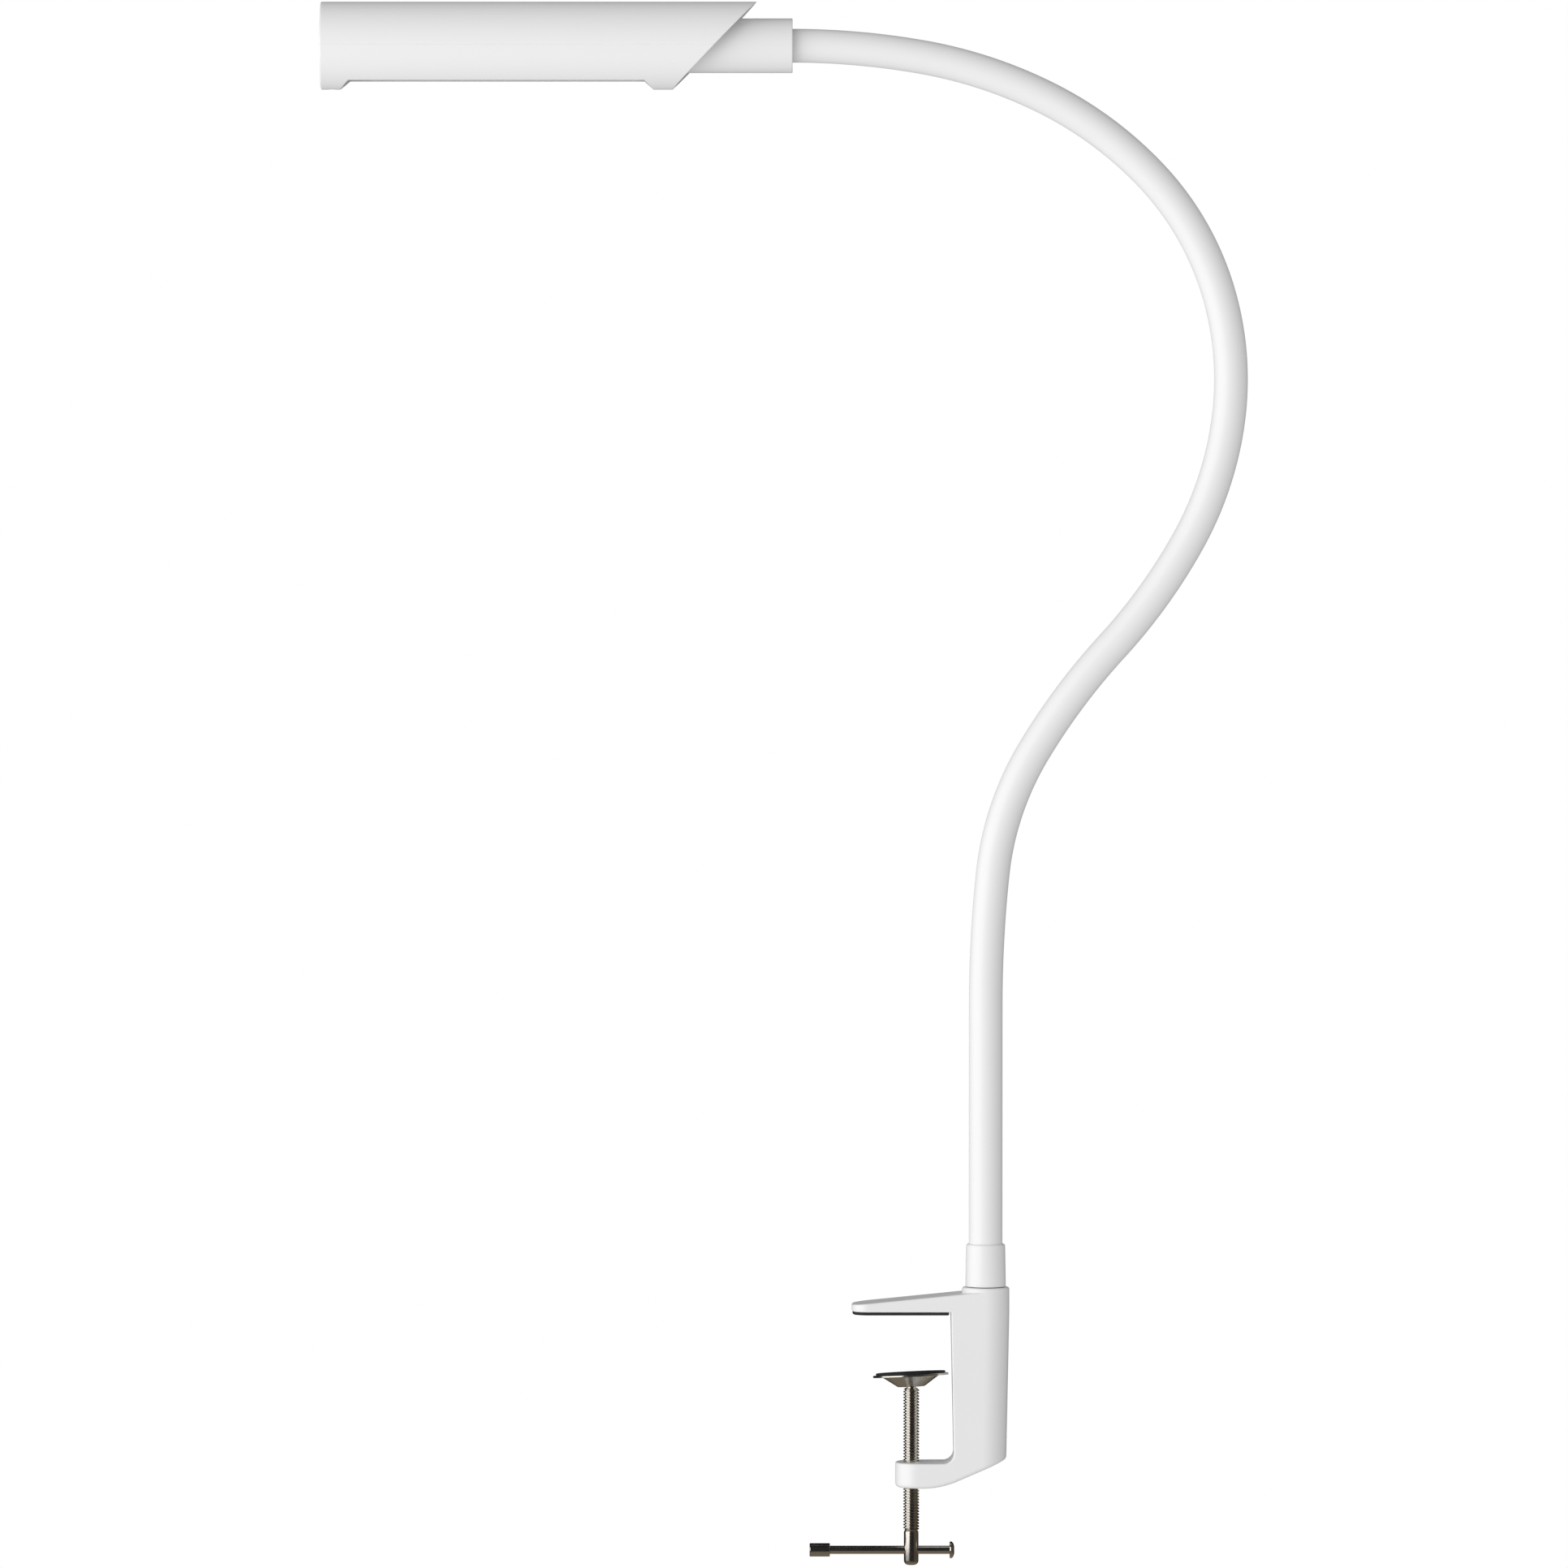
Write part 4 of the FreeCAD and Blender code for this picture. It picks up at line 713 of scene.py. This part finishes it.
def make_disc(materials):
    """Pressed dish of even thickness with rounded bends and edges, and the rubber sheet on its rim."""
    pivot = JOINTS["disc_tilt"]["pos_m"]
    axis = MOUNTS["desk_under_face"]["axis"]
    half = DISC_T / 2
    mouth = DISC_R - DISC_RIM
    run = (mouth - DISC_FLOOR_R) / (DISC_RISE - half)
    wall = DISC_T * math.sqrt(1 + run * run)
    under = DISC_FLOOR_R - DISC_T * run + wall
    under_mouth = mouth - DISC_T * run + wall
    top = DISC_RISE
    corners = [(DISC_HOLE_R, 0, 0), (DISC_HOLE_R, half, FINE_EDGE / 2), (DISC_FLOOR_R, half, 1.5 * MM),
               (mouth, top, 1.2 * MM), (DISC_R, top, FINE_EDGE), (DISC_R, top - DISC_T, FINE_EDGE),
               (under_mouth, top - DISC_T, 2.2 * MM), (under, -half, 2.0 * MM),
               (DISC_HOLE_R, -half, FINE_EDGE / 2), (DISC_HOLE_R, 0, 0)]
    disc = lathe("clamp_disc", rounded(corners, 7)[:-1], pivot, axis, DISC_SIDES, closed=True)
    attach(finish_piece(disc, materials["disc_steel"], "disc_steel", "pressure_disc"), "disc")
    corners = [(0, top, 0), (DISC_PAD_R, top, FINE_EDGE / 2),
               (DISC_PAD_R, top + DISC_PAD_T, 2 * FINE_EDGE), (0, top + DISC_PAD_T, 0)]
    pad = lathe("clamp_disc_pad", rounded(corners, 6), pivot, axis, DISC_SIDES)
    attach(finish_piece(pad, materials["pad_rubber"], "pad_rubber", "disc_pad"), "disc")


# ---------------------------------------------------------------- lip of the frosted sheet
LIP_T = 1.0 * MM              # lip that turns down from the sheet's outer end
LIP_AHEAD = 2.1 * MM          # from the sheet's end to the lip
LIP_DROP = 5.7 * MM
LIP_LAP = 0.5 * MM            # how far the lip's flange runs into the sheet
LIP_ROWS = 12
LIP_EDGE = 0.25 * MM
SHEET_UNDER_AXIS = 14.4 * MM  # underside of the sheet below the shade's axis
BORE_ROOM = 20.3 * MM         # the shell's bore, less some room


def make_diffuser_lip(materials):
    """Flange and lip at the sheet's outer end: half width = root of bore^2 - (depth below the axis)^2."""
    low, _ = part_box("diffuser")
    z = np.append(np.linspace(low.z - LIP_DROP, low.z, LIP_ROWS), [low.z, low.z + LIP_T])
    half = np.sqrt(BORE_ROOM ** 2 - (low.z + SHEET_UNDER_AXIS - z) ** 2)
    outer = np.full(len(z), low.x - LIP_AHEAD - LIP_T)
    inner = np.append(outer[:LIP_ROWS] + LIP_T, [low.x + LIP_LAP] * 2)
    along = np.stack([inner, inner, outer, outer], axis=1)
    across = np.stack([-half, half, half, -half], axis=1)
    points = np.stack([along, across, z[:, None] + 0 * along], axis=2).reshape(-1, 3)
    last = 4 * len(z)
    faces = grid_faces(len(z), 4).tolist() + [[3, 2, 1, 0], [last - 4, last - 3, last - 2, last - 1]]
    lip = new_piece("diffuser_lip", points, faces)
    soften = lip.modifiers.new("soften", "BEVEL")
    soften.width, soften.segments = LIP_EDGE, 2
    slot = SLOTS["diffuser"]
    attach(finish_piece(lip, materials[slot], slot), "shade")


# ---------------------------------------------------------------- studio
def make_floor():
    """Pale floor far below the lamp, clear from beneath; it melts into the surround with distance."""
    low, _ = CAD_BOX
    bpy.ops.mesh.primitive_plane_add(size=FLOOR_SIZE, location=(0.0, 0.0, low[2] - FLOOR_DROP))
    floor = bpy.context.object
    floor.name = "floor"
    f = Finish("floor_paper")
    f.set(Base_Color=f.blend_colours(f.noise(3.0), *FLOOR_TONES), Roughness=0.8)
    flat = f.node("ShaderNodeVectorMath", {"operation": "MULTIPLY"}, {0: f.place, 1: (1.0, 1.0, 0.0)})
    length = f.node("ShaderNodeVectorMath", {"operation": "LENGTH"}, {0: flat.outputs[0]})
    far = Signal(f, length.outputs["Value"])
    underside = Signal(f, f.node("ShaderNodeNewGeometry").outputs["Backfacing"])
    gone = far.rise(*FLOOR_FADE).larger(underside)
    paper = f.shader.outputs[0]
    clear = f.node("ShaderNodeBsdfTransparent").outputs[0]
    mix = f.node("ShaderNodeMixShader", None, {0: gone, 1: paper, 2: clear})
    f.feed(f.tree.nodes["Material Output"].inputs["Surface"], mix.outputs[0])
    floor.data.materials.append(f.material)
    floor.visible_diffuse = False
    floor.visible_glossy = False


def make_surround():
    """White to the camera, soft light from below and in front on matt surfaces, dark fields on gloss."""
    world = bpy.data.worlds.new("surround")
    bpy.context.scene.world = world
    world.use_nodes = True
    world.node_tree.nodes.clear()
    w = Nodes(world.node_tree, "Generated")
    right, front, down = w.axis("X"), 0.0 - w.axis("Y"), 0.0 - w.axis("Z")
    glow = TOP_GLOW + (UNDER_GLOW - TOP_GLOW) * down.rise(*GLOW_TURN) + FRONT_GLOW * front.rise(0.0, 1.0)
    side = w.blend_colours(right.rise(*GLOSS_RIGHT_EDGE), GLOSS_DARK, GLOSS_WARM)
    below = w.blend_colours(down.rise(*GLOSS_UNDER_EDGE), side, GLOSS_UNDER)
    path = w.node("ShaderNodeLightPath").outputs
    white = (1.0, 1.0, 1.0, 1.0)
    soft = w.node("ShaderNodeBackground", None, {"Color": white, "Strength": glow}).outputs[0]
    gloss = w.node("ShaderNodeBackground", None, {"Color": below}).outputs[0]
    seen = w.node("ShaderNodeBackground", None, {"Color": white}).outputs[0]
    lit = w.node("ShaderNodeMixShader", None, {0: path["Is Glossy Ray"], 1: soft, 2: gloss}).outputs[0]
    both = w.node("ShaderNodeMixShader", None, {0: path["Is Camera Ray"], 1: lit, 2: seen}).outputs[0]
    w.node("ShaderNodeOutputWorld", None, {"Surface": both})


def make_studio():
    """Floor, surround and softbox."""
    bpy.context.scene.view_settings.view_transform = "Standard"
    make_floor()
    make_surround()
    make_key_light()


def main():
    """Studio first, then every CAD node's finish, then the pieces that stand for nodes."""
    make_camera()
    make_studio()
    materials = make_materials()
    for node, thing in frame["nodes"].items():
        thing.data.materials.clear()
        thing.data.materials.append(materials[SLOTS[node]])
    make_neck(materials)
    make_ferrule(materials)
    make_screw(materials)
    make_bar(materials)
    make_disc(materials)
    make_diffuser_lip(materials)


main()
